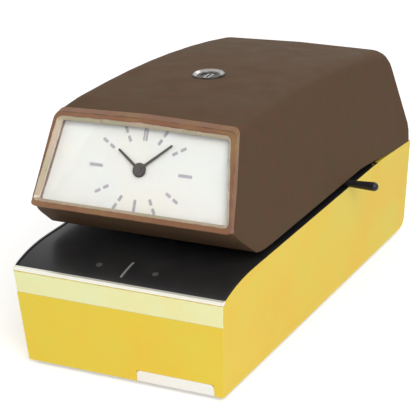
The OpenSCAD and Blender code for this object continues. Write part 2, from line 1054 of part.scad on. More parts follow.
module stop_carriage() {
    left = post_places[0] - post_w / 2 - 2;
    right = post_places[1] + post_w / 2 + 2;
    color(steel)
        lift()
            difference() {
                union() {
                    box(
                        [left, lever_y - carriage_half_y, carriage_z],
                        [right, lever_y + carriage_half_y, carriage_z + carriage_t]
                    );
                    for (x = post_places)
                        box(
                            [x - post_w / 2, lever_y - 3.4, post_low],
                            [x + post_w / 2, lever_y + 3.4, carriage_z + carriage_t]
                        );
                    for (x = [finger_x - ear_x - ear_t, finger_x + ear_x])
                        box(
                            [x, trigger_at[0] - 3, carriage_z],
                            [x + ear_t, trigger_at[0] + 3, trigger_at[1] + 3]
                        );
                }
                cross_rod(left - cut, right - left + 2 * cut, [lever_y, lever_z], lever_r + slip);
                cross_rod(finger_x - 10, 20, trigger_at, trigger_pin_r + slip);
                box(
                    [finger_x - ear_x, lever_y - carriage_half_y - cut, carriage_z - cut],
                    [finger_x + ear_x, lever_y + 4, carriage_z + carriage_t + cut]
                );
            }
}
// The black rod that stops the paper; its thicker, rounded end is moved by hand
module stop_lever() {
    color(black)
        lift()
            translate([0, lever_y, lever_z])
                rotate([0, 90, 0])
                    rotate_extrude()
                        polygon(concat(
                            [[0, lever_left], [lever_r, lever_left], [lever_r, grip_left]],
                            [
                                for (a = [0:15:90])
                                    [grip_r * cos(a), lever_reach - grip_r + grip_r * sin(a)]
                            ]
                        ));
}
module trigger_pin() {
    color(zinc)
        lift()
            cross_rod(
                finger_x - ear_x - ear_t - 0.5, 2 * (ear_x + ear_t + 0.5),
                trigger_at, trigger_pin_r
            );
}
module trigger_finger() {
    color(black)
        lift()
            across_from(finger_x - finger_w / 2, finger_w)
                difference() {
                    polygon(soften([
                        trigger_at + [-3, 3],
                        trigger_at + [-3, -5],
                        [trigger_at[0] - 1.5, table_top + 1],
                        [trigger_at[0] + 0.5, table_top + 1],
                        trigger_at + [3, -4],
                        trigger_at + [3, 3]
                    ], 0.8));
                    translate(trigger_at)
                        circle(r = trigger_pin_r + slip);
                }
}
module trigger_switch() {
    color(rubber)
        lift()
            box(
                [finger_x - ear_x - 5, lever_y + 4.2, carriage_z + carriage_t],
                [finger_x + ear_x + 5, lever_y + carriage_half_y, carriage_z + carriage_t + 8]
            );
}

// ---------------------------------------------------------------- electrical parts

transformer_size = [32, 44, 35.5];
core_in = 12;
board_size = [40, 70, 1.6];
board_z = 10;
module transformer() {
    low = [-frame_in + 22, frame_front_y + 20, floor_top];
    high = low + transformer_size;
    color(steel)
        lift() {
            box(low, [high[0], high[1], floor_top + 2]);
            box([low[0] + 4, low[1] + 4, floor_top + 1], [high[0] - 4, high[1] - 4, high[2]]);
            box([low[0], low[1] + core_in, core_in], [high[0], high[1] - core_in, high[2] - 8]);
        }
}
module control_board() {
    low = [frame_in - 46, frame_front_y + 30, board_z];
    high = low + board_size;
    color(board_green)
        lift() {
            box(low, high);
            for (x = [low[0] + 5, high[0] - 5])
                for (y = [low[1] + 5, high[1] - 5])
                    translate([x, y, floor_top])
                        cylinder(r = 2.5, h = low[2] - floor_top + 0.1);
            for (i = [0:2])
                translate([low[0] + 14, low[1] + 16 + 18 * i, high[2] - 0.1])
                    cylinder(r = 5, h = 12 + 3 * i);
            for (i = [0:3])
                box(
                    [high[0] - 16, low[1] + 10 + 13 * i, high[2] - 0.1],
                    [high[0] - 6, low[1] + 18 + 13 * i, high[2] + 4]
                );
        }
}
// The bush in the rear wall through which the mains lead enters
lead_r = 3.6;
bush_l = 9;
module cord_bush() {
    color(rubber)
        lift()
            at_bush()
                difference() {
                    union() {
                        long_rod(-base_wall - 1, base_wall + 1, [0, 0], bush_r);
                        long_rod(-base_wall - 3, 3, [0, 0], bush_r + 1.5);
                    }
                    long_rod(-bush_l, bush_l + cut, [0, 0], lead_r);
                }
}

// ---------------------------------------------------------------- cover

cover_low = rim_h + throat_h;
lean_from = cover_low - 0.6;
function cover_side(z) = half_w - (z < lean_from ? 0 : cover_lean * (z - lean_from) / (cover_h - lean_from));

// The clock face: its lower edge, its slope and its plane
face_y = front_y + 20.1;
face_z = 99.2;
face_tilt = 26.8;
function on_slope(s, depth = 0) = [
    face_y + s * sin(face_tilt) + depth * cos(face_tilt),
    face_z + s * cos(face_tilt) - depth * sin(face_tilt)
];
// Children are drawn on the face: x to the right, y up the slope, z towards the reader
module on_face(depth = 0) {
    lift()
        translate([0, on_slope(0, depth)[0], on_slope(0, depth)[1]])
            rotate([90 - face_tilt, 0, 0])
                children();
}
function face_side(s) = cover_side(on_slope(s)[1]);
// How much higher the middle of the top is than its sides, also where the face ends
crown = 1.6;
crown_drop = crown * 0.75;
// The outline of the face drawn in by e; r rounds its lower corners and r_top its upper ones
function face_outline(e, r, r_top, h = face_h) =
    let (
        low = [face_side(0) - e, e],
        high = [face_side(h) - e, h - crown_drop - e],
        mid = [0, h - e],
        right = concat(
            bend(low - [r, 0], low, towards(low, high, r), 4),
            bend(towards(high, low, r_top), high, towards(high, mid, r_top), 4)
        )
    )
        concat(right, [mid], flipped(right));
// Behind the face the top goes on rising at this angle, so the outline grows with the depth
brow_tilt = 14;
function height_at(depth) = face_h + depth * tan(face_tilt + brow_tilt);

rear_ease = 4;
rear_rake = 0.28;
rear_top_y = rear_y - 18;
rear_top_z = cover_h - 21;

// A cross-section of the cover whose top is at z, drawn in by e
module cover_section(y, z, e, side_ease = 0) {
    low = 60;
    top = z - e;
    tall = top - lean_from > ridge_r + 2;
    r = max(0.5, ridge_r - e);
    function half(h) = cover_side(h + e) - e - side_ease;
    ridge = bend([half(top - r), top - r], [half(top), top - crown], [half(top) - r, top - crown * 0.7], 5);
    plain = [[half(top), top], [-half(top), top]];
    along_from(y - 0.005, 0.01)
        polygon(concat(
            [[-half(low), low], [half(low), low], [half(lean_from - e), lean_from - e]],
            tall ? concat(ridge, [[0, top]], flipped(ridge)) : plain,
            [[-half(lean_from - e), lean_from - e]]
        ));
}
// Where the cover's top line runs, as [y, z]: the brow over the clock, the long top and the rear edge
brow_r = 6;
brow_from = 8;
brow_l = 72;
flat_from = 105;
fall_l = 110;
top_line = concat(
    bend(
        on_slope(face_h) + brow_from * [cos(brow_tilt), sin(brow_tilt)],
        [front_y + brow_l - 10, cover_h - 0.3],
        [front_y + brow_l, cover_h],
        4
    ),
    bend(
        [front_y + flat_from, cover_h],
        [rear_y - fall_l, cover_h - 0.6],
        [rear_top_y - 12, rear_top_z + 5.2],
        6
    ),
    bend(
        [rear_top_y - 8, rear_top_z + 4.4],
        [rear_top_y - 1.5, rear_top_z + 2],
        [rear_top_y + 0.8, rear_top_z - 5],
        3
    )
);
// The closed form that the cover is cut from, drawn in by e
module cover_form(e) {
    inward = e / 130;
    hull() {
        for (p = top_line)
            cover_section(p[0] * (1 - inward) + (p[0] <= front_y + brow_l ? e * 0.3 : 0), p[1], e);
        cover_section(rear_y - rear_ease - e, tail_z + rear_ease / rear_rake, e);
        cover_section(rear_y - e, tail_z, e, rear_ease);
        translate([0, on_slope(0, bezel_t + e)[0], on_slope(0, bezel_t + e)[1]])
            rotate([90 - face_tilt, 0, 0])
                linear_extrude(height = 0.01)
                    polygon(face_outline(max(e, 0.2), 5, brow_r, height_at(bezel_t + e)));
    }
}
chin_y = front_y + 46.5;
chin_z = cover_low + 1.8;
chin_in = cover_wall;
seam_y = rear_y - 38;
lever_clear_y = lever_y + stop_aft + lever_r + 0.6;
module cover_side_view() {
    rim = rim_line(-seat);
    seam = [for (i = [len(rim) - 1:-1:0]) if (rim[i][0] > seam_y) rim[i]];
    polygon(concat(
        [[rear_y + 10, cover_h + 10], [rear_y + 10, tail_z + seat]],
        seam,
        bend(seam[len(seam) - 1], [lever_clear_y + 8, cover_low], [lever_clear_y, cover_low], 5),
        bend([front_y + 77, cover_low], [chin_y, cover_low], [chin_y, chin_z], 5),
        [
            on_slope(0, bezel_t),
            [front_y - 10, on_slope(0, bezel_t)[1] + 12],
            [front_y - 10, cover_h + 10]
        ]
    ));
}
module cover_side_hollow() {
    polygon([
        [rear_y + 10, 40],
        [chin_y + chin_in + 2, 40],
        [chin_y + chin_in + 2, chin_z + 1],
        [chin_y + chin_in - 1, chin_z + chin_in],
        on_slope(chin_in, bezel_t + cover_wall),
        on_slope(cover_h, bezel_t + cover_wall),
        [rear_y + 10, cover_h + 10]
    ]);
}
collar_inset = 2.8;
pocket_inset = 4.2;
lock_y = -16.8;
lock_seat_z = cover_h - 1.6;
lock_ring_t = 2;

module cover_shell() {
    color(brown)
        difference() {
            lift()
                difference() {
                    intersection() {
                        cover_form(0);
                        across(2 * machine_w)
                            cover_side_view();
                    }
                    intersection() {
                        cover_form(cover_wall);
                        across(2 * machine_w)
                            cover_side_hollow();
                    }
                    translate([0, lock_y, cover_h / 2])
                        cylinder(r = lock_barrel_r + slip, h = cover_h);
                    translate([0, lock_y, lock_seat_z])
                        cylinder(r = lock_ring_r + 0.1, h = 10);
                }
            // the opening that the collar of the bezel fills
            on_face(bezel_t + 2 * cover_wall)
                linear_extrude(height = 4 * cover_wall)
                    polygon(face_outline(collar_inset - 0.25, 2, 2));
        }
}

// ---------------------------------------------------------------- clock

lip_t = 2;
bezel_corner_r = 5;
collar_depth = 9;
dial_t = 1;
lens_t = 1.5;
lens_depth = lip_t + seat_play;
retainer_depth = dial_depth + dial_t + 0.1;
retainer_t = 1.3;
dial_mid = face_h / 2;
hand_t = 0.4;
arbor_r = 1.05;
pipe_r = 2.2;
dial_hole_r = 3.2;
hour_angle = 304.15;
minute_angle = 49.8;

// An outline of the face from one depth to another
module face_slab(from, to, e, r, h = face_h) {
    on_face(to)
        linear_extrude(height = to - from)
            polygon(face_outline(e, r, r, h));
}
// The space under the top of the bezel, which rises to the rear like the cover behind it
module under_brow() {
    side = face_side(face_h) + 0.3;
    lean = cover_lean / (cover_h - lean_from);
    corner = [side, -crown_drop];
    foot = [side + lean * cover_h, -cover_h];
    right = concat(
        [foot],
        bend(towards(corner, foot, bezel_corner_r), corner, towards(corner, [0, 0], bezel_corner_r), 5)
    );
    lift()
        translate([0, on_slope(face_h)[0], on_slope(face_h)[1]])
            rotate([90 + brow_tilt, 0, 0])
                linear_extrude(height = 2 * cover_h, center = true)
                    polygon(concat(right, [[0, 0]], flipped(right)));
}
module bezel_frame() {
    color(copper)
        difference() {
            union() {
                intersection() {
                    face_slab(0, bezel_t - seat_play, 0, bezel_corner_r, height_at(2 * bezel_t));
                    under_brow();
                }
                face_slab(bezel_t - 0.1, collar_depth, collar_inset, 2);
            }
            face_slab(-cut, lip_t + cut, bezel_rail, 1.5);
            face_slab(lip_t, collar_depth + cut, pocket_inset, 1);
        }
}
// The clear lens has a skirt that holds the dial down, and leaves the hands free to turn
module dial_lens() {
    color([0.9, 0.95, 0.95, 0.25])
        difference() {
            face_slab(lens_depth, dial_depth - 0.02, pocket_inset + 0.15, 1);
            face_slab(lens_depth + lens_t, dial_depth + cut, pocket_inset + 1.1, 1);
            on_face(dial_depth + cut)
                translate([0, dial_mid, 0])
                    cylinder(r = minute_hand_l + 0.4, h = dial_depth + cut - lens_depth - lens_t);
        }
}
module dial_plate() {
    color(ivory)
        difference() {
            face_slab(dial_depth, dial_depth + dial_t, pocket_inset + 0.15, 1);
            on_face(dial_depth + 5)
                translate([0, dial_mid, 0])
                    cylinder(r = dial_hole_r, h = 10);
        }
}
// The hours stand on an oval that fills the low, wide dial
mark_x = 31.5;
mark_y = 23;
mark_l = 8;
mark_w = 2;
module hour_marks() {
    color(steel)
        on_face(dial_depth)
            translate([0, dial_mid, 0])
                for (hour = [0:11])
                    let (
                        a = 90 - 30 * hour,
                        d = 1 / sqrt(pow(cos(a) / mark_x, 2) + pow(sin(a) / mark_y, 2))
                    )
                        rotate(a)
                            translate([d, 0, mark_t / 2 + 0.01])
                                cube([mark_l, mark_w, mark_t], center = true);
}
screw_inset = pocket_inset + 5;
module dial_screw_places() {
    for (x = [-1, 1])
        for (s = [screw_inset, face_h - screw_inset])
            translate([x * (face_side(s) - screw_inset), s, 0])
                children();
}
module dial_retainer() {
    color(steel)
        difference() {
            face_slab(retainer_depth, retainer_depth + retainer_t, pocket_inset + 0.15, 1);
            on_face(retainer_depth + 5) {
                translate([0, dial_mid, 0])
                    cylinder(r = dial_hole_r, h = 10);
                dial_screw_places()
                    cylinder(r = pilot_r - 0.3, h = 10);
            }
        }
}
module dial_screws() {
    color(zinc)
        on_face(retainer_depth + retainer_t + 1.4)
            dial_screw_places() {
                cylinder(r = 2.6, h = 1.4);
                cylinder(r = 1.2, h = 1.4 + retainer_t);
            }
}
movement_half = 27;
movement_t = 15;
movement_front = retainer_depth + retainer_t + 0.05;
pipe_back = movement_front + 6;
module clock_movement() {
    color(zinc)
        on_face(movement_front + movement_t)
            translate([0, dial_mid, 0])
                difference() {
                    linear_extrude(height = movement_t)
                        polygon(soften([
                            [-movement_half, -movement_half + 3],
                            [movement_half, -movement_half + 3],
                            [movement_half, movement_half - 3],
                            [-movement_half, movement_half - 3]
                        ], 4));
                    translate([0, 0, movement_t - 6.5])
                        cylinder(r = pipe_r + slip, h = 10);
                    translate([0, 0, movement_t - 10])
                        cylinder(r = arbor_r + slip, h = 10);
                }
}
// A hand in its own plane, pointing at the hour of the given angle
module hand(l, angle) {
    rotate(-angle)
        polygon([
            [-hand_w / 2, 0],
            [hand_w / 2, 0],
            [hand_w * 0.35, l],
            [-hand_w * 0.35, l]
        ]);
}
hub_r = 4.6;
hour_depth = dial_depth - 1.1;
minute_depth = hour_depth - 0.8;
module hour_hand() {
    color(black)
        difference() {
            union() {
                on_face(hour_depth)
                    translate([0, dial_mid, 0])
                        linear_extrude(height = hand_t)
                            union() {
                                hand(hour_hand_l, hour_angle);
                                circle(r = hub_r);
                            }
                on_face(pipe_back)
                    translate([0, dial_mid, 0])
                        cylinder(r = pipe_r, h = pipe_back - hour_depth + 0.1);
            }
            on_face(pipe_back + cut)
                translate([0, dial_mid, 0])
                    cylinder(r = arbor_r + slip, h = pipe_back);
        }
}
module minute_hand() {
    color(black) {
        on_face(minute_depth)
            translate([0, dial_mid, 0]) {
                linear_extrude(height = hand_t)
                    union() {
                        hand(minute_hand_l, minute_angle);
                        circle(r = hub_r - 0.6);
                    }
                cylinder(r = 2, h = hand_t + 0.35);
            }
        on_face(pipe_back + 3)
            translate([0, dial_mid, 0])
                cylinder(r = arbor_r, h = pipe_back + 3 - minute_depth + 0.1);
    }
}

// ---------------------------------------------------------------- lock

barrel_low = cover_h - 21;
nut_low = cover_h - 8;
cam_t = 2;
cam_l = 14;
cam_w = 8;
cam_z = barrel_low - 4;
tail_r = 3;
bow_depth = 2.5;
module at_lock(z) {
    lift()
        translate([0, lock_y, z])
            children();
}
module lock_ring() {
    color(bright)
        at_lock(lock_seat_z)
            rotate_extrude()
                polygon([
                    [lock_barrel_r + slip, 0],
                    [lock_ring_r, 0],
                    [lock_ring_r, lock_ring_t - 0.6],
                    [lock_ring_r - 0.8, lock_ring_t],
                    [lock_ring_r - 2, lock_ring_t],
                    [lock_barrel_r + slip, lock_ring_t - 1]
                ]);
}
module lock_barrel() {
    color(zinc)
        at_lock(barrel_low)
            difference() {
                cylinder(r = lock_barrel_r, h = lock_seat_z - barrel_low + 0.8);
                translate([0, 0, -cut])
                    cylinder(r = lock_plug_r + slip, h = cover_h);
            }
}
module lock_nut() {
    color(zinc)
        at_lock(nut_low)
            difference() {
                cylinder(r = lock_barrel_r + 3.4, h = 3.4, $fn = 6);
                translate([0, 0, -cut])
                    cylinder(r = lock_barrel_r + slip, h = 10);
            }
}
module lock_plug() {
    color(steel)
        at_lock(0)
            difference() {
                union() {
                    translate([0, 0, barrel_low])
                        cylinder(r = lock_plug_r, h = lock_seat_z - barrel_low + 0.3);
                    translate([0, 0, cam_z - 1.2])
                        cylinder(r = tail_r, h = barrel_low - cam_z + 1.3);
                }
                translate([-0.7, -3.4, lock_seat_z - bow_depth])
                    cube([1.4, 6.8, 10]);
            }
}
module lock_cam() {
    color(steel)
        at_lock(cam_z)
            difference() {
                linear_extrude(height = cam_t)
                    polygon(soften([
                        [-cam_w / 2, -cam_w / 2],
                        [cam_w / 2, -cam_w / 2],
                        [cam_w / 2, cam_l],
                        [-cam_w / 2, cam_l]
                    ], 2));
                translate([0, 0, -cut])
                    cylinder(r = tail_r + slip, h = 10);
            }
}
// The catch stands on the right frame; the turned cam lies under its lip
module lock_catch() {
    post_x = cam_l + 3;
    y_low = lock_y - 7;
    y_high = lock_y + 7;
    lip_z = cam_z + cam_t + 1;
    color(steel)
        lift() {
            box([post_x, y_low, arm_top + seat], [frame_out, y_high, arm_top + seat + 2]);
            box([post_x, y_low, arm_top + seat], [post_x + 2, y_high, lip_z + 2]);
            box([cam_l - 6, y_low, lip_z], [post_x + 2, y_high, lip_z + 2]);
        }
}

base_shell();
bottom_plate();
rubber_feet();
mounting_nuts();
bottom_screws();
front_band();
table_trim();
badge_plate();
table_plate();
table_marks();
left_frame();
right_frame();
tie_rods();
frame_screws();
chassis_screws();
head_plate();
type_brackets();
type_shaft();
drive_motor();
ribbon_brackets();
ribbon();
hammer_shaft();
solenoid_frame();
solenoid_coil();
transformer();
control_board();
cord_bush();
lock_catch();
hammer_arm();
hammer_pad();
solenoid_plunger();
stop_carriage();
stop_lever();
trigger_switch();
trigger_pin();
trigger_finger();
minute_type_wheel();
hour_type_wheel();
date_type_wheel();
month_type_wheel();
year_type_wheel();
idler_gear();
motor_pinion();
left_ribbon_spool();
right_ribbon_spool();
cover_shell();
bezel_frame();
dial_lens();
dial_plate();
hour_marks();
dial_retainer();
dial_screws();
clock_movement();
lock_ring();
lock_barrel();
lock_nut();
lock_plug();
lock_cam();
hour_hand();
minute_hand();
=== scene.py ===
"""Looks of the date and time stamp machine.

Finer pieces, finishes, light and camera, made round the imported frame.
"""
import json
import math

import bmesh
import bpy
from mathutils import Matrix, Vector

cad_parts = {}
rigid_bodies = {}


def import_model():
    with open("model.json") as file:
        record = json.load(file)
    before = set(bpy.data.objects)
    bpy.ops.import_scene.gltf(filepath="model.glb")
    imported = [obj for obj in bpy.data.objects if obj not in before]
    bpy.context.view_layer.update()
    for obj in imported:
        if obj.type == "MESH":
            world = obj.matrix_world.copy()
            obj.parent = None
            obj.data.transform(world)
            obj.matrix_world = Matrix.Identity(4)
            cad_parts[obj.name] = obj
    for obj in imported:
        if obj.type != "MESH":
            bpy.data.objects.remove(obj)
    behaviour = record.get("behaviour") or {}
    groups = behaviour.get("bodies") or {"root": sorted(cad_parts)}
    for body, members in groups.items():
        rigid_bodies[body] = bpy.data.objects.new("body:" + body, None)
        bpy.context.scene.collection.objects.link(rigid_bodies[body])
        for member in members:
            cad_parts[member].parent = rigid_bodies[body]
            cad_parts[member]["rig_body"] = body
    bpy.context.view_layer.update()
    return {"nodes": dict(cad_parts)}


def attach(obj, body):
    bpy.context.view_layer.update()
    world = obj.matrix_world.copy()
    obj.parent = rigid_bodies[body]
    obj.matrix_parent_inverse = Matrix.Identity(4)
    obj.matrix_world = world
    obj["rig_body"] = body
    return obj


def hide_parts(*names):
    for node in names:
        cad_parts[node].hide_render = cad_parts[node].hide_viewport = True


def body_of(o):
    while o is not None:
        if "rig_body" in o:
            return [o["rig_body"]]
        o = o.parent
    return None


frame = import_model()
scene = bpy.context.scene

# ------------------------------------------------------------------ sizes, in millimetres

MM = 0.001
FOOT_H = 3.0

# The clock's face: its lower edge, how far it leans back from upright, its height along the slope,
# the lip that holds the glass, and the dial's depth behind the face
FACE_Y = -129.9
FACE_Z = 99.2 + FOOT_H
FACE_TILT = math.radians(26.8)
FACE_H = 62.7
LIP_T = 2.0
DIAL_DEPTH = 6.5

# How far the inner edge of the bezel is cut back on each side
BEVEL_LEFT = 3.4
BEVEL_RIGHT = 2.2
BEVEL_LOW = 1.8
BEVEL_HIGH = 2.4

# The hour marks: the half axes of their oval, and for each kind of mark the bars that it has,
# by their shift outwards from the oval and their length
MARK_OVAL = (31.5, 23.0)
WHOLE_MARK = [(0.0, 9.5)]
BROKEN_MARK = [(3.2, 4.2), (-3.0, 4.0)]
MARK_W = 2.0
MARK_T = 0.15
MARK_LIFT = 0.085
MARK_CORNER = 0.5
PAIR_BAR_W = 1.3
PAIR_SIDES = (-0.9, 0.9)

# The rim of the base beside the table: how far out it starts, its lowest point and its two ends
TABLE_HALF = 73.2
TABLE_LOW = 60.0 + FOOT_H
TABLE_FRONT_Y = -147.0
TABLE_REAR_Y = 83.0

# The lock: its middle, the height that its ring rests at, and the radii of barrel and ring
LOCK_Y = -16.8
LOCK_SEAT_Z = 157.4 + FOOT_H
LOCK_BARREL_R = 7.65
LOCK_RING_R = 10.8

# The type wheels: their shaft in Y and Z, their radius and the height of their figures
TYPE_AT = (-50.0, 93.8 + FOOT_H)
TYPE_R = 15.0
NUMERAL_RISE = 0.12
# Each type wheel: its middle along X, the numbers on it and the size of its figures
TYPE_WHEELS = {
    "minute_type_wheel": (-16.0, range(0, 60, 2), 2.4),
    "hour_type_wheel": (-8.0, range(24), 3.0),
    "date_type_wheel": (0.0, range(1, 32), 2.3),
    "month_type_wheel": (9.5, range(1, 13), 5.4),
    "year_type_wheel": (19.0, range(70, 86), 4.2),
}

# The ribbon spools: the middle of each, the radius of the ribbon on it and the width between its ends
SPOOL_X = 44.0
SPOOL_Z = 96.0 + FOOT_H
SPOOL_WOUND_R = 9.3
SPOOL_MID_Y = -50.0
SPOOL_INNER_W = 13.0

# The control board: its two faces, and the gap along X between its capacitors and its black parts
BOARD_LOW = 10.0 + FOOT_H
BOARD_TOP = 11.6 + FOOT_H
BOARD_GAP_X = 31.0

# The transformer: the box round its iron plates, and the top of its foot
CORE_Y = (-80.1, -59.9)
CORE_Z = (11.9 + FOOT_H, 30.1 + FOOT_H)
CORE_FOOT_TOP = 4.6 + FOOT_H

# Reading a CAD mesh: how near two heights count as the same, how near two points are merged, the
# longest edge that is dropped as a sliver, and the angle, in degrees, up to which faces count as flat
NEAR = 0.01
MERGE_DIST = 0.002
SLIVER = 0.04
FLAT_ANGLE = 0.6

# ------------------------------------------------------------------ camera

CAMERA_AT = (482.31, -892.83, 460.94)
CAMERA_AIM = (-8.07, -5.53, 61.31)
CAMERA_ROLL = math.radians(-3.23)
CAMERA_LENS = 136.66
CAMERA_SHIFT = (-0.00886, -0.00117)


def make_camera():
    """The photograph's viewpoint, with its slight roll."""
    at = Vector(CAMERA_AT) * MM
    forward = (Vector(CAMERA_AIM) * MM - at).normalized()
    right = forward.cross(Vector((0, 0, 1))).normalized()
    up = right.cross(forward)
    cos = math.cos(CAMERA_ROLL)
    sin = math.sin(CAMERA_ROLL)
    rolled_right = cos * right + sin * up
    rolled_up = cos * up - sin * right
    turn = Matrix((rolled_right, rolled_up, -forward)).transposed()
    data = bpy.data.cameras.new("camera")
    data.lens = CAMERA_LENS
    data.sensor_width = 36
    data.shift_x, data.shift_y = CAMERA_SHIFT
    data.clip_end = 20
    camera = bpy.data.objects.new("camera", data)
    camera.matrix_world = Matrix.Translation(at) @ turn.to_4x4()
    scene.collection.objects.link(camera)
    scene.camera = camera


# ------------------------------------------------------------------ shader nodes


def colour(code):
    """A colour as it looks, '#rrggbb', in the linear values that Blender mixes."""
    parts = [int(code[i:i + 2], 16) / 255 for i in (1, 3, 5)]
    return tuple(p / 12.92 if p <= 0.04045 else ((p + 0.055) / 1.055) ** 2.4 for p in parts) + (1.0,)


def fill(tree, node, inputs):
    """Give a shader node its inputs: each is a value, or another node's output to link."""
    for key, value in inputs.items():
        if isinstance(value, bpy.types.NodeSocket):
            tree.links.new(value, node.inputs[key])
        else:
            node.inputs[key].default_value = value


def add(tree, kind, inputs=None, **settings):
    """A new shader node with its settings and inputs."""
    made = tree.nodes.new("ShaderNode" + kind)
    for key, value in settings.items():
        setattr(made, key, value)
    fill(tree, made, inputs or {})
    return made


def mix_colours(tree, factor, first, second):
    """The output that goes from the first colour to the second as the factor rises."""
    return add(tree, "Mix", {0: factor, 6: first, 7: second}, data_type="RGBA").outputs[2]


def ramp(tree, value, low, high, to_low=0.0, to_high=1.0):
    """The output that goes from to_low to to_high as the value goes from low to high."""
    return add(
        tree, "MapRange",
        {"Value": value, "From Min": low, "From Max": high, "To Min": to_low, "To Max": to_high},
    ).outputs["Result"]


def calculate(tree, operation, *values):
    """The output of a Math node."""
    return add(tree, "Math", dict(enumerate(values)), operation=operation).outputs[0]


def new_group(name, inputs, outputs):
    """An empty node group with named sockets; returns it with its inside ends."""
    tree = bpy.data.node_groups.new(name, "ShaderNodeTree")
    for way, sockets in (("INPUT", inputs), ("OUTPUT", outputs)):
        for label, kind in sockets.items():
            tree.interface.new_socket(name=label, in_out=way, socket_type="NodeSocket" + kind)
    given = tree.nodes.new("NodeGroupInput").outputs
    result = tree.nodes.new("NodeGroupOutput").inputs
    return tree, given, result


def use_group(tree, name, inputs):
    """One of the node groups with its own values; returns its outputs."""
    made = tree.nodes.new("ShaderNodeGroup")
    made.node_tree = bpy.data.node_groups[name]
    fill(tree, made, inputs)
    return made.outputs


# ------------------------------------------------------------------ groups for fine relief


def relief_group(name):
    """The start of a relief: its tree, the place stretched along each axis, its scale and its end."""
    tree, given, result = new_group(
        name, {"Vector": "Vector", "Stretch": "Vector", "Scale": "Float"}, {"Height": "Float"}
    )
    stretched = add(tree, "VectorMath", {0: given["Vector"], 1: given["Stretch"]}, operation="MULTIPLY")
    return tree, stretched.outputs[0], given["Scale"], result["Height"]


def grain_group():
    """Fine noise, drawn out along any axis: orange peel, cast skin or brushing."""
    tree, place, scale, height = relief_group("grain")
    noise = add(tree, "TexNoise", {"Vector": place, "Scale": scale, "Detail": 3.0, "Roughness": 0.55})
    tree.links.new(noise.outputs["Fac"], height)


def stipple_group():
    """The small rounded bumps of a wrinkle paint."""
    tree, place, scale, height = relief_group("stipple")
    cells = add(
        tree, "TexVoronoi", {"Vector": place, "Scale": scale, "Smoothness": 0.6}, feature="SMOOTH_F1"
    )
    tree.links.new(ramp(tree, cells.outputs["Distance"], 0.1, 0.7, 1.0, 0.0), height)


def lines_group():
    """Ridges side by side along one axis: laminations, windings or turning marks."""
    tree, place, scale, height = relief_group("lines")
    summed = add(tree, "VectorMath", {0: place, 1: (1, 1, 1)}, operation="DOT_PRODUCT")
    turned = calculate(tree, "MULTIPLY", summed.outputs["Value"], scale)
    tree.links.new(ramp(tree, calculate(tree, "SINE", turned), -1.0, 1.0), height)


def weave_group():
    """Threads over and under each other."""
    tree, place, scale, height = relief_group("weave")
    parts = add(tree, "SeparateXYZ", {0: place}).outputs
    waves = [
        calculate(tree, "SINE", calculate(tree, "MULTIPLY", part, scale)) for part in (parts[0], parts[1])
    ]
    tree.links.new(ramp(tree, calculate(tree, "MULTIPLY", *waves), -1.0, 1.0), height)


# ------------------------------------------------------------------ groups for colour and wear

# The part of each noise's range over which its effect comes in
WARM_FROM_TO = (0.42, 0.68)
COOL_FROM_TO = (0.45, 0.7)
RIM_TONE_FROM_TO = (0.38, 0.62)
DUST_FROM_TO = (0.35, 0.75)

# The cooler patches: how far their noise is moved away from the warmer ones, and how much finer it is
COOL_SHIFT = (3.1, 1.7, 2.3)
COOL_FINER = 1.7
# The scales of the edge tone, which is scuffing on most finishes and painted light on a few, and of dust,
# the upward share from which dust lies on a face, and its tone
RIM_TONE_SCALE = 180.0
DUST_SCALE = 60.0
DUST_LEAST_UP = 0.3
DUST_TONE = "#b9b2a2"


def patches_group():
    """Large faint patches of a warmer and a cooler tone over the main colour."""
    tree, given, result = new_group(
        "patches",
        {
            "Vector": "Vector", "Colour": "Color", "Warm": "Color", "Cool": "Color",
            "Scale": "Float", "Amount": "Float",
        },
        {"Colour": "Color", "Mask": "Float"},
    )
    warm = add(tree, "TexNoise", {"Vector": given["Vector"], "Scale": given["Scale"], "Detail": 4.0})
    moved = add(tree, "VectorMath", {0: given["Vector"], 1: COOL_SHIFT}, operation="ADD")
    finer = calculate(tree, "MULTIPLY", given["Scale"], COOL_FINER)
    cool = add(tree, "TexNoise", {"Vector": moved.outputs[0], "Scale": finer, "Detail": 4.0})
    warm_part = calculate(
        tree, "MULTIPLY", ramp(tree, warm.outputs["Fac"], *WARM_FROM_TO), given["Amount"]
    )
    cool_part = calculate(
        tree, "MULTIPLY", ramp(tree, cool.outputs["Fac"], *COOL_FROM_TO), given["Amount"]
    )
    warmed = mix_colours(tree, warm_part, given["Colour"], given["Warm"])
    tree.links.new(mix_colours(tree, cool_part, warmed, given["Cool"]), result["Colour"])
    tree.links.new(warm.outputs["Fac"], result["Mask"])


def rim_wear_and_painted_light_group():
    """The edge tone comes through on the eased edges, whose faces carry the attribute 'rim': scuffing on
    most finishes, a painted highlight on the yellow base and painted shade, a dark outline, on the bezel.
    """
    tree, given, result = new_group(
        "rim_wear_and_painted_light",
        {"Vector": "Vector", "Colour": "Color", "RimTone": "Color", "Amount": "Float"},
        {"Colour": "Color"},
    )
    rim = add(tree, "Attribute", attribute_name="rim")
    noise = add(tree, "TexNoise", {"Vector": given["Vector"], "Scale": RIM_TONE_SCALE, "Detail": 5.0})
    broken = ramp(tree, noise.outputs["Fac"], *RIM_TONE_FROM_TO)
    rim_patches = calculate(tree, "MULTIPLY", rim.outputs["Fac"], broken)
    mask = calculate(tree, "MULTIPLY", rim_patches, given["Amount"])
    tree.links.new(mix_colours(tree, mask, given["Colour"], given["RimTone"]), result["Colour"])


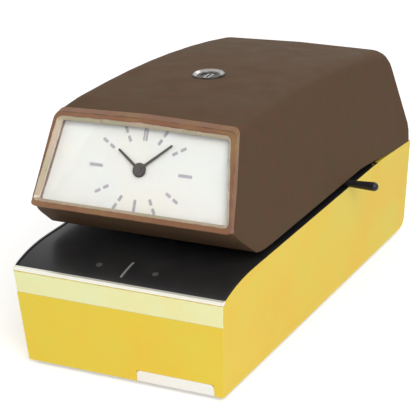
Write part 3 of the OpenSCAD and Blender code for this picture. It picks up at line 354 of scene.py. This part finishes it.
def dust_group():
    """A pale film on the faces that look up."""
    tree, given, result = new_group(
        "dust",
        {"Vector": "Vector", "Facing": "Vector", "Colour": "Color", "Amount": "Float"},
        {"Colour": "Color"},
    )
    facing = add(tree, "SeparateXYZ", {0: given["Facing"]}).outputs
    upward = ramp(tree, facing[2], DUST_LEAST_UP, 1.0)
    noise = add(tree, "TexNoise", {"Vector": given["Vector"], "Scale": DUST_SCALE, "Detail": 6.0})
    lying = calculate(tree, "MULTIPLY", upward, ramp(tree, noise.outputs["Fac"], *DUST_FROM_TO))
    mask = calculate(tree, "MULTIPLY", lying, given["Amount"])
    tree.links.new(mix_colours(tree, mask, given["Colour"], colour(DUST_TONE)), result["Colour"])


# ------------------------------------------------------------------ finishes

# What a finish has unless it says otherwise: the scale and strength of its patches of tone; its
# roughness and how far that varies; its metal, shine and clear coat; the group that makes its fine
# relief, with stretch, scale and height in mm; the tone on its eased edges and how much of it, which
# is scuffing on most finishes and painted light on those that say so; and its dust
PLAIN = {
    "patch": 25.0, "amount": 0.5,
    "rough": 0.5, "vary": 0.08, "metal": 0.0, "specular": 0.5, "coat": 0.0,
    "pattern": "grain", "stretch": (1, 1, 1), "scale": 900.0, "height": 0.02,
    "bare": "#8c8a86", "wear": 0.0, "dust": 0.0,
}
TURNED = {"pattern": "lines", "stretch": (1, 0.2, 0.2), "scale": 9000.0, "height": 0.01}
# Each finish: its colour, its warmer and its cooler tone, and what differs from PLAIN
FINISHES = {
    # The paler edge tone of the yellow is a painted highlight along the eased rims of the tub.
    "base_yellow": (
        "#e8cb46", "#ecc244", "#e3cf4e",
        {
            "patch": 14.0, "amount": 0.8, "rough": 0.42, "vary": 0.07, "specular": 0.16,
            "scale": 700.0, "height": 0.03, "bare": "#f3e184", "wear": 0.75, "dust": 0.03,
        },
    ),
    "cover_brown": (
        "#574332", "#5d4435", "#51452f",
        {
            "patch": 70.0, "amount": 0.7, "rough": 0.66, "specular": 0.06, "pattern": "stipple",
            "scale": 1500.0, "height": 0.035, "bare": "#7a6650", "wear": 0.5, "dust": 0.03,
        },
    ),
    # The dark edge tone of the bezel is painted shade: a dark outline painted on its eased front edges.
    "bezel_copper": (
        "#7d5438", "#73472e", "#88683c",
        {
            "patch": 22.0, "amount": 0.8, "rough": 0.34, "metal": 0.15, "specular": 0.3,
            "coat": 0.2, "stretch": (0.06, 1, 1), "scale": 2600.0, "height": 0.008,
            "bare": "#50372a", "wear": 0.75,
        },
    ),
    # A painted highlight: the pale colour of the bevel round the glass, lighter than the bezel.
    "bevel_painted_highlight": (
        "#a99b80", "#b39c88", "#a09c7c",
        {
            "patch": 30.0, "amount": 0.8, "rough": 0.3, "metal": 0.2, "coat": 0.4,
            "stretch": (0.06, 1, 1), "scale": 2600.0, "height": 0.006, "bare": "#8a5c44",
            "wear": 0.8,
        },
    ),
    "cream_band": (
        "#ebe9ae", "#ece6a4", "#e4ecb8",
        {
            "patch": 18.0, "amount": 0.9, "rough": 0.4, "vary": 0.06, "specular": 0.35,
            "bare": "#f3f2d4", "wear": 0.6,
        },
    ),
    "bright_lip": (
        "#edebdc", "#ebe3d6", "#e6ead8",
        {
            "rough": 0.24, "vary": 0.05, "metal": 0.3, "stretch": (0.05, 1, 1), "scale": 2400.0,
            "height": 0.008, "bare": "#fbfaf4", "wear": 0.5,
        },
    ),
    "ivory_badge": (
        "#f4f2ec", "#f3ede0", "#eef1ee",
        {
            "rough": 0.35, "vary": 0.05, "scale": 500.0, "height": 0.01, "bare": "#dcd8cc",
            "wear": 0.5,
        },
    ),
    "table_black": (
        "#1f2021", "#242120", "#1b1c21",
        {
            "patch": 12.0, "amount": 0.9, "rough": 0.36, "vary": 0.06, "specular": 0.25,
            "coat": 0.1, "scale": 1200.0, "height": 0.006, "bare": "#4a4846", "wear": 0.6,
            "dust": 0.015,
        },
    ),
    "table_mark": (
        "#7e7c78", "#86807c", "#74777c",
        {
            "patch": 220.0, "amount": 0.9, "vary": 0.1, "scale": 2500.0,
        },
    ),
    "faint_mark": (
        "#474543", "#4e4a42", "#3c3e42",
        {
            "patch": 260.0, "amount": 0.9, "vary": 0.1, "scale": 2500.0,
        },
    ),
    "steel_plate": (
        "#a9abab", "#a8a49c", "#a2a8ad",
        {
            "rough": 0.36, "vary": 0.1, "metal": 1.0, "stretch": (1, 0.04, 1), "scale": 1500.0,
            "height": 0.012, "bare": "#d8d8d8", "wear": 0.6, "dust": 0.06,
        },
    ),
    "ground_steel": (
        "#c2c4c5", "#bdb8b2", "#b8bfc5",
        {
            **TURNED, "rough": 0.2, "vary": 0.06, "metal": 1.0, "bare": "#e6e6e6", "wear": 0.6,
        },
    ),
    "blackened_steel": (
        "#2e2d2d", "#352f2a", "#292b30",
        {
            "rough": 0.42, "vary": 0.1, "metal": 0.8, "scale": 1800.0, "bare": "#8a8886",
            "wear": 0.8,
        },
    ),
    "zinc": (
        "#b9b196", "#b8aa86", "#b2b6ae",
        {
            "patch": 60.0, "amount": 0.8, "rough": 0.34, "vary": 0.1, "metal": 1.0,
            "scale": 1600.0, "height": 0.008, "bare": "#d5d3cb", "wear": 0.6,
        },
    ),
    "rubber": (
        "#2a2928", "#2f2a26", "#28292b",
        {
            "rough": 0.8, "specular": 0.25, "scale": 2200.0, "height": 0.05, "bare": "#4a4846",
            "wear": 0.5, "dust": 0.12,
        },
    ),
    "pad_rubber": (
        "#5b3a31", "#643a30", "#523c34",
        {
            "patch": 90.0, "rough": 0.72, "vary": 0.1, "specular": 0.25, "scale": 2600.0,
            "height": 0.04, "bare": "#2b2421", "wear": 0.7,
        },
    ),
    "motor_can": (
        "#9b9d9e", "#96928c", "#8f959b",
        {
            **TURNED, "rough": 0.3, "vary": 0.08, "metal": 1.0, "scale": 5200.0, "bare": "#d0d0d0",
            "wear": 0.6,
        },
    ),
    "ribbon_cloth": (
        "#18171b", "#1e1820", "#15171d",
        {
            "rough": 0.78, "vary": 0.06, "specular": 0.2, "pattern": "weave", "scale": 9000.0,
            "height": 0.04,
        },
    ),
    "coil_tape": (
        "#c78a34", "#bd7a2c", "#cc9a44",
        {
            "rough": 0.4, "coat": 0.2, "pattern": "lines", "stretch": (0.04, 0.04, 1),
            "scale": 5200.0, "height": 0.05,
        },
    ),
    "core_iron": (
        "#6d6a66", "#74654f", "#646a70",
        {
            "vary": 0.1, "metal": 0.9, "pattern": "lines", "stretch": (0, 1, 0), "scale": 9000.0,
            "height": 0.06, "bare": "#9a958c", "wear": 0.4,
        },
    ),
    "board": (
        "#27623a", "#2f6b36", "#1f5a40",
        {
            "patch": 160.0, "amount": 0.9, "rough": 0.35, "coat": 0.3, "pattern": "lines",
            "stretch": (1, 0.3, 0), "scale": 2400.0, "height": 0.05, "bare": "#b9a25a",
            "wear": 0.5,
        },
    ),
    "cast_arm": (
        "#7d7f80", "#7c7870", "#74797d",
        {
            "patch": 90.0, "amount": 0.8, "vary": 0.1, "metal": 0.85, "pattern": "stipple",
            "scale": 1300.0, "height": 0.05, "bare": "#c4c4c2", "wear": 0.8,
        },
    ),
    "lever_black": (
        "#131218", "#191416", "#11131e",
        {
            "rough": 0.36, "specular": 0.35, "coat": 0.1, "scale": 1500.0, "height": 0.01,
            "bare": "#37353a", "wear": 0.6,
        },
    ),
    "black_plastic": (
        "#1c1c1d", "#221e1b", "#1a1c20",
        {
            "vary": 0.1, "specular": 0.35, "pattern": "stipple", "scale": 3000.0,
            "bare": "#3c3b3a", "wear": 0.6,
        },
    ),
    "type_brass": (
        "#b8934a", "#a87c3c", "#c3a866",
        {
            **TURNED, "patch": 120.0, "amount": 0.8, "rough": 0.3, "vary": 0.1, "metal": 1.0,
            "bare": "#2b2522", "wear": 0.85,
        },
    ),
    "nylon": (
        "#e4dfcf", "#e6dcc2", "#dfe0d6",
        {
            "rough": 0.45, "vary": 0.06, "scale": 1500.0, "height": 0.01, "bare": "#f4f0e4",
            "wear": 0.4,
        },
    ),
    "dial_white": (
        "#c2c2bd", "#c5c2b7", "#bec2bf",
        {
            "patch": 16.0, "amount": 0.8, "rough": 0.55, "vary": 0.05, "specular": 0.3,
            "scale": 2200.0, "height": 0.006, "bare": "#e8e2c0", "wear": 0.8,
        },
    ),
    "hour_grey": (
        "#8c8990", "#9a8e96", "#8e938e",
        {
            "patch": 260.0, "amount": 0.9, "rough": 0.6, "vary": 0.05, "scale": 2600.0,
            "height": 0.004,
        },
    ),
    "movement_case": (
        "#d2cdb8", "#d5c9a8", "#c9cbbd",
        {
            "pattern": "stipple", "scale": 2400.0, "bare": "#ebe7d8", "wear": 0.5,
        },
    ),
    # A painted highlight and painted reflection: bright metal painted on the slope inside the lock ring
    # and as a strip across the plug's face.
    "lock_chrome": (
        "#a9a5a2", "#a89c94", "#a2a5a8",
        {
            "rough": 0.16, "vary": 0.05, "metal": 1.0, "scale": 1800.0, "height": 0.006,
            "bare": "#f6f6f8", "wear": 0.4,
        },
    ),
    "type_inked": (
        "#2b2521", "#5a4526", "#1f1d20",
        {
            "patch": 400.0, "amount": 0.9, "vary": 0.1, "metal": 0.4, "scale": 2600.0,
            "bare": "#a8884c", "wear": 0.9,
        },
    ),
    "capacitor_sleeve": (
        "#23406b", "#2a3f5e", "#1f4a78",
        {
            "patch": 140.0, "amount": 0.7, "rough": 0.35, "coat": 0.2, "scale": 1800.0,
            "height": 0.008, "bare": "#c0c2c4", "wear": 0.7,
        },
    ),
    "lock_body": (
        "#3a3836", "#433c34", "#34373c",
        {
            "rough": 0.34, "metal": 0.9, "scale": 1800.0, "height": 0.01, "bare": "#9a968e",
            "wear": 0.6,
        },
    ),
    "hand_black": (
        "#2a231e", "#33241c", "#25242a",
        {
            "rough": 0.4, "vary": 0.06, "scale": 2000.0, "height": 0.006, "bare": "#554840",
            "wear": 0.5,
        },
    ),
}
BUMP_STRENGTH = 0.8
COAT_ROUGH = 0.12


def new_material(name):
    """An empty material, with its tree and its shader."""
    material = bpy.data.materials.new(name)
    material.use_nodes = True
    tree = material.node_tree
    return material, tree, tree.nodes["Principled BSDF"]


def make_finish(slot):
    """A slot's material: patches, an edge tone (scuffing on most finishes, painted light on a few) and
    dust in its colour, and its own fine relief.
    """
    main, warm, cool, own = FINISHES[slot]
    look = {**PLAIN, **own}
    material, tree, shader = new_material(slot)
    place = add(tree, "TexCoord").outputs
    patches = use_group(tree, "patches", {
        "Vector": place["Object"], "Colour": colour(main), "Warm": colour(warm), "Cool": colour(cool),
        "Scale": look["patch"], "Amount": look["amount"],
    })
    rim_toned = use_group(tree, "rim_wear_and_painted_light", {
        "Vector": place["Object"], "Colour": patches["Colour"], "RimTone": colour(look["bare"]),
        "Amount": look["wear"],
    })
    dusty = use_group(tree, "dust", {
        "Vector": place["Object"], "Facing": place["Normal"], "Colour": rim_toned["Colour"],
        "Amount": look["dust"],
    })
    relief = use_group(tree, look["pattern"], {
        "Vector": place["Object"], "Stretch": look["stretch"], "Scale": look["scale"],
    })
    bump = add(tree, "Bump", {
        "Height": relief["Height"], "Distance": look["height"] * MM, "Strength": BUMP_STRENGTH,
    })
    smoothest = look["rough"] - look["vary"]
    roughest = look["rough"] + look["vary"]
    fill(tree, shader, {
        "Base Color": dusty["Colour"],
        "Normal": bump.outputs["Normal"],
        "Roughness": ramp(tree, patches["Mask"], 0.2, 0.8, smoothest, roughest),
        "Metallic": look["metal"],
        "Specular IOR Level": look["specular"],
        "Coat Weight": look["coat"],
        "Coat Roughness": COAT_ROUGH,
    })
    return material


def make_lens_finish():
    """Clear acrylic with faint wiping marks, through which the lamps still reach the dial."""
    lens_shade = 0.08
    smear_scale = 45.0
    material, tree, shader = new_material("lens")
    place = add(tree, "TexCoord").outputs
    smears = use_group(tree, "grain", {
        "Vector": place["Object"], "Stretch": (0.3, 1, 1), "Scale": smear_scale,
    })
    shadow = add(tree, "LightPath").outputs["Is Shadow Ray"]
    fill(tree, shader, {
        "Base Color": (1, 1, 1, 1),
        "Roughness": ramp(tree, smears["Height"], 0.4, 0.8, 0.015, 0.06),
        "Alpha": ramp(tree, shadow, 0.0, 1.0, 1.0, lens_shade),
        "Transmission Weight": 1.0,
        "IOR": 1.3,
    })
    return material


# ------------------------------------------------------------------ making pieces


def from_node(name):
    """The form of a CAD node, merged, with its flat faces made whole."""
    mesh = bmesh.new()
    mesh.from_mesh(frame["nodes"][name].data)
    bmesh.ops.remove_doubles(mesh, verts=mesh.verts, dist=MERGE_DIST * MM)
    bmesh.ops.dissolve_limit(
        mesh, angle_limit=math.radians(FLAT_ANGLE), verts=mesh.verts, edges=mesh.edges
    )
    bmesh.ops.dissolve_degenerate(mesh, dist=SLIVER * MM, edges=mesh.edges)
    return mesh


def round_edges(mesh, edges, width, segments):
    """Bevel the edges to a rounding of a width in mm; returns the new faces."""
    return bmesh.ops.bevel(
        mesh, geom=edges, offset=width * MM, offset_type="OFFSET", affect="EDGES",
        segments=segments, profile=0.5, material=-1, clamp_overlap=True, miter_outer="ARC",
    )["faces"]


def ease(mesh, width, angle=30, segments=2, wanted=None):
    """Round the edges sharper than an angle, and mark their new faces in 'rim'."""
    if not width:
        return
    rim = mesh.faces.layers.float.new("rim")
    sharp = [
        edge for edge in mesh.edges
        if len(edge.link_faces) == 2
        and edge.calc_face_angle(0) > math.radians(angle)
        and (wanted is None or wanted(edge))
    ]
    if sharp:
        for face in round_edges(mesh, sharp, width, segments):
            face[rim] = 1.0


def paint(mesh, index, wanted):
    """Give the material of an index to the faces whose middle, in mm, and normal are wanted."""
    for face in mesh.faces:
        if wanted(face.calc_center_median() / MM, face.normal):
            face.material_index = index


def new_piece(name, mesh, body, slots, replaced, smooth=32):
    """Link a mesh as a piece that rides on a body and stands for the replaced nodes.

    Faces that meet at less than smooth degrees shade as one curve.
    """
    data = bpy.data.meshes.new(name)
    mesh.to_mesh(data)
    mesh.free()
    for slot in slots:
        data.materials.append(finishes[slot])
    data.shade_smooth()
    data.set_sharp_from_angle(angle=math.radians(smooth))
    piece = bpy.data.objects.new(name, data)
    scene.collection.objects.link(piece)
    weighted = piece.modifiers.new("weighted_normal", "WEIGHTED_NORMAL")
    weighted.keep_sharp = True
    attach(piece, body)
    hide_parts(*replaced)


def body_of_node(node):
    """The name of the body that a CAD node rides on."""
    return body_of(frame["nodes"][node])[0]


def face_matrix():
    """From the clock face's own axes (right, up the slope, towards the reader) to the frame's."""
    sin = math.sin(FACE_TILT)
    cos = math.cos(FACE_TILT)
    turn = Matrix(((1, 0, 0), (0, sin, -cos), (0, cos, sin))).to_4x4()
    return Matrix.Translation(Vector((0, FACE_Y, FACE_Z)) * MM) @ turn


# ------------------------------------------------------------------ pieces of the clock


def bevel_at(inward):
    """The width of the inner bevel where the edge of the opening faces this way."""
    across = BEVEL_LEFT if inward.x > 0 else BEVEL_RIGHT
    upright = BEVEL_LOW if inward.y > 0 else BEVEL_HIGH
    return across * inward.x ** 2 + upright * inward.y ** 2


def make_bezel():
    """The brown bezel, with its inner edge cut back to a bevel all round the glass, painted pale as a
    painted highlight.
    """
    across_face = 0.05
    back = face_matrix().inverted()

    def height(vert):
        """How far a point stands out of the face, in mm."""
        return (back @ vert.co).z / MM

    # The walls of the opening, between the front of the bezel and the lip that holds the glass
    mesh = from_node("bezel_frame")
    opening = [
        face for face in mesh.faces
        if abs((back.to_3x3() @ face.normal).z) < across_face
        and all(-LIP_T - NEAR < height(vert) < NEAR for vert in face.verts)
        and any(height(vert) < -LIP_T + NEAR for vert in face.verts)
    ]
    # Each front corner of them moves outwards, square to the walls that meet there
    moves = {}
    for face in opening:
        # The walls take the second slot, the pale painted highlight.
        face.material_index = 1
        for vert in face.verts:
            if height(vert) > -NEAR:
                moves.setdefault(vert, []).append(face.normal.copy())
    for vert, normals in moves.items():
        first = normals[0]
        last = normals[-1]
        inward = (back.to_3x3() @ (first + last)).normalized()
        vert.co -= bevel_at(inward) * MM * (first + last) / (1 + first.dot(last))
    mesh.normal_update()
    ease(mesh, width=0.7, angle=24, segments=3, wanted=lambda edge: all(
        height(vert) > -2 * NEAR for vert in edge.verts
    ))
    new_piece("bezel", mesh, "cover", ["bezel_copper", "bevel_painted_highlight"], ["bezel_frame"], smooth=40)


def make_hour_marks():
    """Twelve soft printed marks on an oval: a pair at the top, broken ones between the quarters."""
    mesh = bmesh.new()
    dial_middle = face_matrix() @ Matrix.Translation(Vector((0, FACE_H / 2, MARK_LIFT - DIAL_DEPTH)) * MM)
    for hour in range(12):
        angle = math.radians(90 - 30 * hour)
        along = Vector((math.cos(angle), math.sin(angle), 0))
        reach = 1 / math.hypot(along.x / MARK_OVAL[0], along.y / MARK_OVAL[1])
        bars = WHOLE_MARK if hour % 3 == 0 else BROKEN_MARK
        sides = PAIR_SIDES if hour == 0 else (0.0,)
        width = PAIR_BAR_W if hour == 0 else MARK_W
        for shift, length in bars:
            for side in sides:
                made = bmesh.ops.create_cube(mesh, size=1)
                place = (
                    dial_middle
                    @ Matrix.Translation(along * (reach + shift) * MM)
                    @ Matrix.Rotation(angle, 4, "Z")
                    @ Matrix.Translation(Vector((0, side, 0)) * MM)
                    @ Matrix.Diagonal((length * MM, width * MM, MARK_T * MM, 1))
                )
                bmesh.ops.transform(mesh, matrix=place, verts=made["verts"])
    upright = [edge for edge in mesh.edges if abs(edge.calc_length() - MARK_T * MM) < NEAR * MM]
    bmesh.ops.bevel(
        mesh, geom=upright, offset=MARK_CORNER * MM, affect="EDGES", segments=3, profile=0.5, material=-1
    )
    new_piece("printed_hours", mesh, "cover", ["hour_grey"], ["hour_marks"])


# ------------------------------------------------------------------ pieces of the base


def make_base():
    """The yellow tub, with its thin rim beside the table black like the table."""
    mesh = from_node("base_shell")
    ease(mesh, width=0.6)
    paint(mesh, 1, lambda middle, normal: (
        (normal.z > 0.5 or normal.x * middle.x < -1)
        and abs(middle.x) > TABLE_HALF
        and middle.z > TABLE_LOW
        and TABLE_FRONT_Y < middle.y < TABLE_REAR_Y
    ))
    new_piece("painted_base", mesh, "chassis", ["base_yellow", "table_black"], ["base_shell"])


def make_table_marks():
    """The clear centre line of the table, made broader, and its two faint spots."""
    line_half = 1.0
    broader = 1.8
    mesh = from_node("table_marks")
    line = [vert for vert in mesh.verts if abs(vert.co.x) < line_half * MM]
    bmesh.ops.scale(mesh, vec=(broader, 1, 1), verts=line)
    paint(mesh, 1, lambda middle, normal: abs(middle.x) > line_half)
    new_piece("guide_marks", mesh, "chassis", ["table_mark", "faint_mark"], ["table_marks"])


def make_badge():
    """The bare badge, with its two upper corners rounded."""
    corner_r = 3.0
    corner_depth = 0.5
    mesh = from_node("badge_plate")
    top = max(vert.co.z for vert in mesh.verts)
    corners = [
        edge for edge in mesh.edges
        if abs(edge.verts[0].co.x - edge.verts[1].co.x) < NEAR * MM
        and min(vert.co.z for vert in edge.verts) > top - corner_depth * MM
    ]
    bmesh.ops.bevel(
        mesh, geom=corners, offset=corner_r * MM, affect="EDGES", segments=6, profile=0.5, material=-1
    )
    ease(mesh, width=0.2)
    new_piece("bare_badge", mesh, "chassis", ["ivory_badge"], ["badge_plate"])


# ------------------------------------------------------------------ pieces of the lock


def make_lock_ring():
    """The dished ring round the lock: dull outside, with the slope down to the barrel painted bright as a
    painted highlight.
    """
    edge_h = 1.5
    rim_h = 2.0
    well_h = 0.9
    rim_outer = LOCK_RING_R - 0.5
    rim_inner = LOCK_RING_R - 0.9
    highlight_from = LOCK_RING_R - 0.8
    profile = [
        (LOCK_BARREL_R, 0.0), (LOCK_RING_R, 0.0), (LOCK_RING_R, edge_h),
        (rim_outer, rim_h), (rim_inner, rim_h), (LOCK_BARREL_R, well_h),
    ]
    mesh = bmesh.new()
    verts = [mesh.verts.new(Vector((r, LOCK_Y, LOCK_SEAT_Z + z)) * MM) for r, z in profile]
    edges = [mesh.edges.new((verts[i - 1], verts[i])) for i in range(len(verts))]
    bmesh.ops.spin(
        mesh, geom=verts + edges, cent=Vector((0, LOCK_Y, 0)) * MM, axis=(0, 0, 1),
        angle=math.tau, steps=72, use_merge=True,
    )
    bmesh.ops.remove_doubles(mesh, verts=mesh.verts, dist=MERGE_DIST * MM)
    bmesh.ops.recalc_face_normals(mesh, faces=mesh.faces)
    ease(mesh, width=0.12)
    # The slope gets the bright second slot, a painted highlight.
    paint(mesh, 1, lambda middle, normal: (
        normal.z > 0.5 and math.hypot(middle.x, middle.y - LOCK_Y) < highlight_from
    ))
    new_piece("dished_ring", mesh, "cover", ["lock_body", "lock_chrome"], ["lock_ring"])


def make_lock_plug():
    """The turning plug, dark but for a strip across its face on both sides of the key slot, painted
    bright as a painted reflection.
    """
    strip_half = 2.1
    # Two cuts, so that the strip has faces of its own
    mesh = from_node("lock_plug")
    for x in (-strip_half, strip_half):
        bmesh.ops.bisect_plane(
            mesh, geom=mesh.verts[:] + mesh.edges[:] + mesh.faces[:],
            plane_co=(x * MM, 0, 0), plane_no=(1, 0, 0),
        )
    # The strip gets the bright second slot, a painted reflection.
    paint(mesh, 1, lambda middle, normal: normal.z > 0.9 and abs(middle.x) < strip_half)
    ease(mesh, width=0.1)
    new_piece("key_plug", mesh, "lock", ["lock_body", "lock_chrome"], ["lock_plug"])


# ------------------------------------------------------------------ pieces inside the machine


def make_spool(node, body, side):
    """A plastic spool with the cloth ribbon wound on it."""
    end_slack = 0.1
    radius_slack = 0.3
    mesh = from_node(node)
    ease(mesh, width=0.15)
    paint(mesh, 1, lambda middle, normal: (
        abs(middle.y - SPOOL_MID_Y) < SPOOL_INNER_W / 2 + end_slack
        and abs(math.hypot(middle.x - side * SPOOL_X, middle.z - SPOOL_Z) - SPOOL_WOUND_R) < radius_slack
    ))
    new_piece("wound_" + node, mesh, body, ["black_plastic", "ribbon_cloth"], [node])


def numeral_mesh(number, size):
    """A raised numeral of two figures, flat about its own middle."""
    curve = bpy.data.curves.new("numeral", "FONT")
    curve.body = f"{number:02d}"
    curve.size = size * MM
    curve.extrude = NUMERAL_RISE * MM
    curve.resolution_u = 2
    curve.align_x = "CENTER"
    curve.align_y = "CENTER"
    holder = bpy.data.objects.new("numeral", curve)
    raised = bpy.data.meshes.new_from_object(holder)
    bpy.data.objects.remove(holder)
    bpy.data.curves.remove(curve)
    return raised


def make_type_wheel(node):
    """A brass wheel with an inked numeral, written backwards, on each of its lands."""
    figure_merge = 0.0005
    middle_x, numbers, size = TYPE_WHEELS[node]
    mesh = from_node(node)
    ease(mesh, width=0.08)
    for i, number in enumerate(numbers):
        angle = math.tau * i / len(numbers)
        outward = Vector((0, math.cos(angle), math.sin(angle)))
        upward = Vector((0, -math.sin(angle), math.cos(angle)))
        turn = Matrix((Vector((1, 0, 0)), upward, outward)).transposed().to_4x4()
        place = Matrix.Translation((Vector((middle_x, *TYPE_AT)) + TYPE_R * outward) * MM)
        raised = numeral_mesh(number, size)
        raised.transform(place @ turn)
        before = len(mesh.faces)
        mesh.from_mesh(raised)
        bpy.data.meshes.remove(raised)
        mesh.faces.ensure_lookup_table()
        figures = mesh.faces[before:]
        bmesh.ops.reverse_faces(mesh, faces=figures)
        for face in figures:
            face.material_index = 1
    bmesh.ops.remove_doubles(mesh, verts=mesh.verts, dist=figure_merge * MM)
    new_piece("numbered_" + node, mesh, body_of_node(node), ["type_brass", "type_inked"], [node])


def make_board():
    """The control board: green laminate on nylon posts, with capacitors and black parts."""
    clear = 0.05
    mesh = from_node("control_board")
    ease(mesh, width=0.25)
    paint(mesh, 1, lambda middle, normal: middle.z > BOARD_TOP + clear and middle.x > BOARD_GAP_X)
    paint(mesh, 2, lambda middle, normal: middle.z > BOARD_TOP + clear and middle.x < BOARD_GAP_X)
    paint(mesh, 3, lambda middle, normal: middle.z < BOARD_LOW - clear)
    new_piece(
        "fitted_board", mesh, "chassis", ["board", "black_plastic", "capacitor_sleeve", "nylon"],
        ["control_board"],
    )


def make_transformer():
    """The transformer: a taped winding through a stack of iron plates, on a zinc foot."""
    mesh = from_node("transformer")
    ease(mesh, width=0.4)
    paint(mesh, 1, lambda middle, normal: (
        CORE_Y[0] < middle.y < CORE_Y[1] and CORE_Z[0] < middle.z < CORE_Z[1]
    ))
    paint(mesh, 2, lambda middle, normal: middle.z < CORE_FOOT_TOP)
    new_piece("wound_transformer", mesh, "chassis", ["coil_tape", "core_iron", "zinc"], ["transformer"])


# ------------------------------------------------------------------ all other nodes

# The slot and the width of the eased edges, in mm, of each node that keeps its CAD form
EASED = {
    "bottom_plate": ("steel_plate", 0.1),
    "rubber_feet": ("rubber", 0.15),
    "mounting_nuts": ("zinc", 0.15),
    "bottom_screws": ("zinc", 0.1),
    "front_band": ("cream_band", 0.25),
    "table_trim": ("bright_lip", 0.3),
    "table_plate": ("table_black", 0.4),
    "left_frame": ("steel_plate", 0.2),
    "right_frame": ("steel_plate", 0.2),
    "tie_rods": ("ground_steel", 0.1),
    "frame_screws": ("zinc", 0.1),
    "chassis_screws": ("zinc", 0.1),
    "head_plate": ("blackened_steel", 0.3),
    "type_brackets": ("steel_plate", 0.15),
    "type_shaft": ("ground_steel", 0.2),
    "drive_motor": ("motor_can", 0.5),
    "ribbon_brackets": ("steel_plate", 0.1),
    "ribbon": ("ribbon_cloth", 0.0),
    "hammer_shaft": ("ground_steel", 0.2),
    "solenoid_frame": ("zinc", 0.3),
    "solenoid_coil": ("coil_tape", 0.2),
    "cord_bush": ("rubber", 0.3),
    "lock_catch": ("steel_plate", 0.3),
    "hammer_arm": ("cast_arm", 0.3),
    "hammer_pad": ("pad_rubber", 0.6),
    "solenoid_plunger": ("ground_steel", 0.2),
    "stop_carriage": ("blackened_steel", 0.1),
    "stop_lever": ("lever_black", 0.0),
    "trigger_switch": ("black_plastic", 0.4),
    "trigger_pin": ("zinc", 0.1),
    "trigger_finger": ("black_plastic", 0.15),
    "idler_gear": ("nylon", 0.08),
    "motor_pinion": ("type_brass", 0.08),
    "cover_shell": ("cover_brown", 0.0),
    "dial_lens": ("lens", 0.0),
    "dial_plate": ("dial_white", 0.15),
    "dial_retainer": ("steel_plate", 0.1),
    "dial_screws": ("zinc", 0.08),
    "clock_movement": ("movement_case", 0.05),
    "lock_barrel": ("lock_body", 0.2),
    "lock_nut": ("zinc", 0.2),
    "lock_cam": ("steel_plate", 0.15),
    "hour_hand": ("hand_black", 0.06),
    "minute_hand": ("hand_black", 0.06),
}


def make_eased(node):
    """A node's own form with eased edges and smooth curves, in its own finish."""
    slot, width = EASED[node]
    mesh = from_node(node)
    ease(mesh, width)
    new_piece(node + ".eased", mesh, body_of_node(node), [slot], [node])


# ------------------------------------------------------------------ studio, in metres

# How strongly the surroundings light the object; where they are seen they are plain white
AMBIENT = 0.45
FLOOR_HALF = 6.0
FLOOR_GREY = 0.8
FLOOR_GLOW = 0.4
FLOOR_ROUGH = 0.9
LAMP_AIM = (0, 0, 0.08)
# Each lamp: where it stands, its size and its power
LAMPS = {
    "key": ((1.2, -1.2, 1.4), 1.3, 30.0),
    "left_fill": ((-1.6, -1.1, 0.9), 1.4, 7.0),
    "rear_fill": ((0.4, 1.8, 1.3), 1.4, 9.0),
}


def seen_directly(tree):
    """One for the rays that show a background, zero for those that only light the object."""
    path = add(tree, "LightPath").outputs
    either = calculate(tree, "MAXIMUM", path["Is Camera Ray"], path["Is Glossy Ray"])
    return calculate(tree, "MAXIMUM", either, path["Is Transmission Ray"])


def make_surroundings():
    """Plain white all round, which lights the object at a gentler level than it shows."""
    world = bpy.data.worlds.new("studio")
    world.use_nodes = True
    scene.world = world
    tree = world.node_tree
    fill(tree, tree.nodes["Background"], {
        "Color": (1, 1, 1, 1),
        "Strength": ramp(tree, seen_directly(tree), 0.0, 1.0, AMBIENT, 1.0),
    })


def make_floor():
    """A pale floor that keeps the object's shadow."""
    mesh = bmesh.new()
    bmesh.ops.create_grid(mesh, x_segments=1, y_segments=1, size=FLOOR_HALF)
    data = bpy.data.meshes.new("floor")
    mesh.to_mesh(data)
    mesh.free()
    floor = bpy.data.objects.new("floor", data)
    scene.collection.objects.link(floor)
    material, tree, shader = new_material("floor")
    fill(tree, shader, {
        "Base Color": (FLOOR_GREY, FLOOR_GREY, FLOOR_GREY, 1),
        "Roughness": FLOOR_ROUGH,
        "Specular IOR Level": 0.0,
        "Emission Color": (1, 1, 1, 1),
        "Emission Strength": ramp(tree, seen_directly(tree), 0.0, 1.0, 0.0, FLOOR_GLOW),
    })
    data.materials.append(material)


def make_lamps():
    """Soft lamps that all look at the middle of the machine."""
    for name, (place, size, power) in LAMPS.items():
        lamp = bpy.data.lights.new(name, "AREA")
        lamp.size = size
        lamp.energy = power
        holder = bpy.data.objects.new(name, lamp)
        holder.location = place
        aim = Vector(LAMP_AIM) - Vector(place)
        holder.rotation_euler = aim.to_track_quat("-Z", "Y").to_euler()
        scene.collection.objects.link(holder)


# ------------------------------------------------------------------ the scene

scene.view_settings.view_transform = "Standard"
make_camera()
for make_group in (
    grain_group, stipple_group, lines_group, weave_group, patches_group, rim_wear_and_painted_light_group, dust_group
):
    make_group()
finishes = {slot: make_finish(slot) for slot in FINISHES}
finishes["lens"] = make_lens_finish()
make_bezel()
make_hour_marks()
make_base()
make_table_marks()
make_badge()
make_lock_ring()
make_lock_plug()
make_spool("left_ribbon_spool", "left_spool", -1)
make_spool("right_ribbon_spool", "right_spool", 1)
for node in TYPE_WHEELS:
    make_type_wheel(node)
make_board()
make_transformer()
for node in EASED:
    make_eased(node)
make_surroundings()
make_floor()
make_lamps()
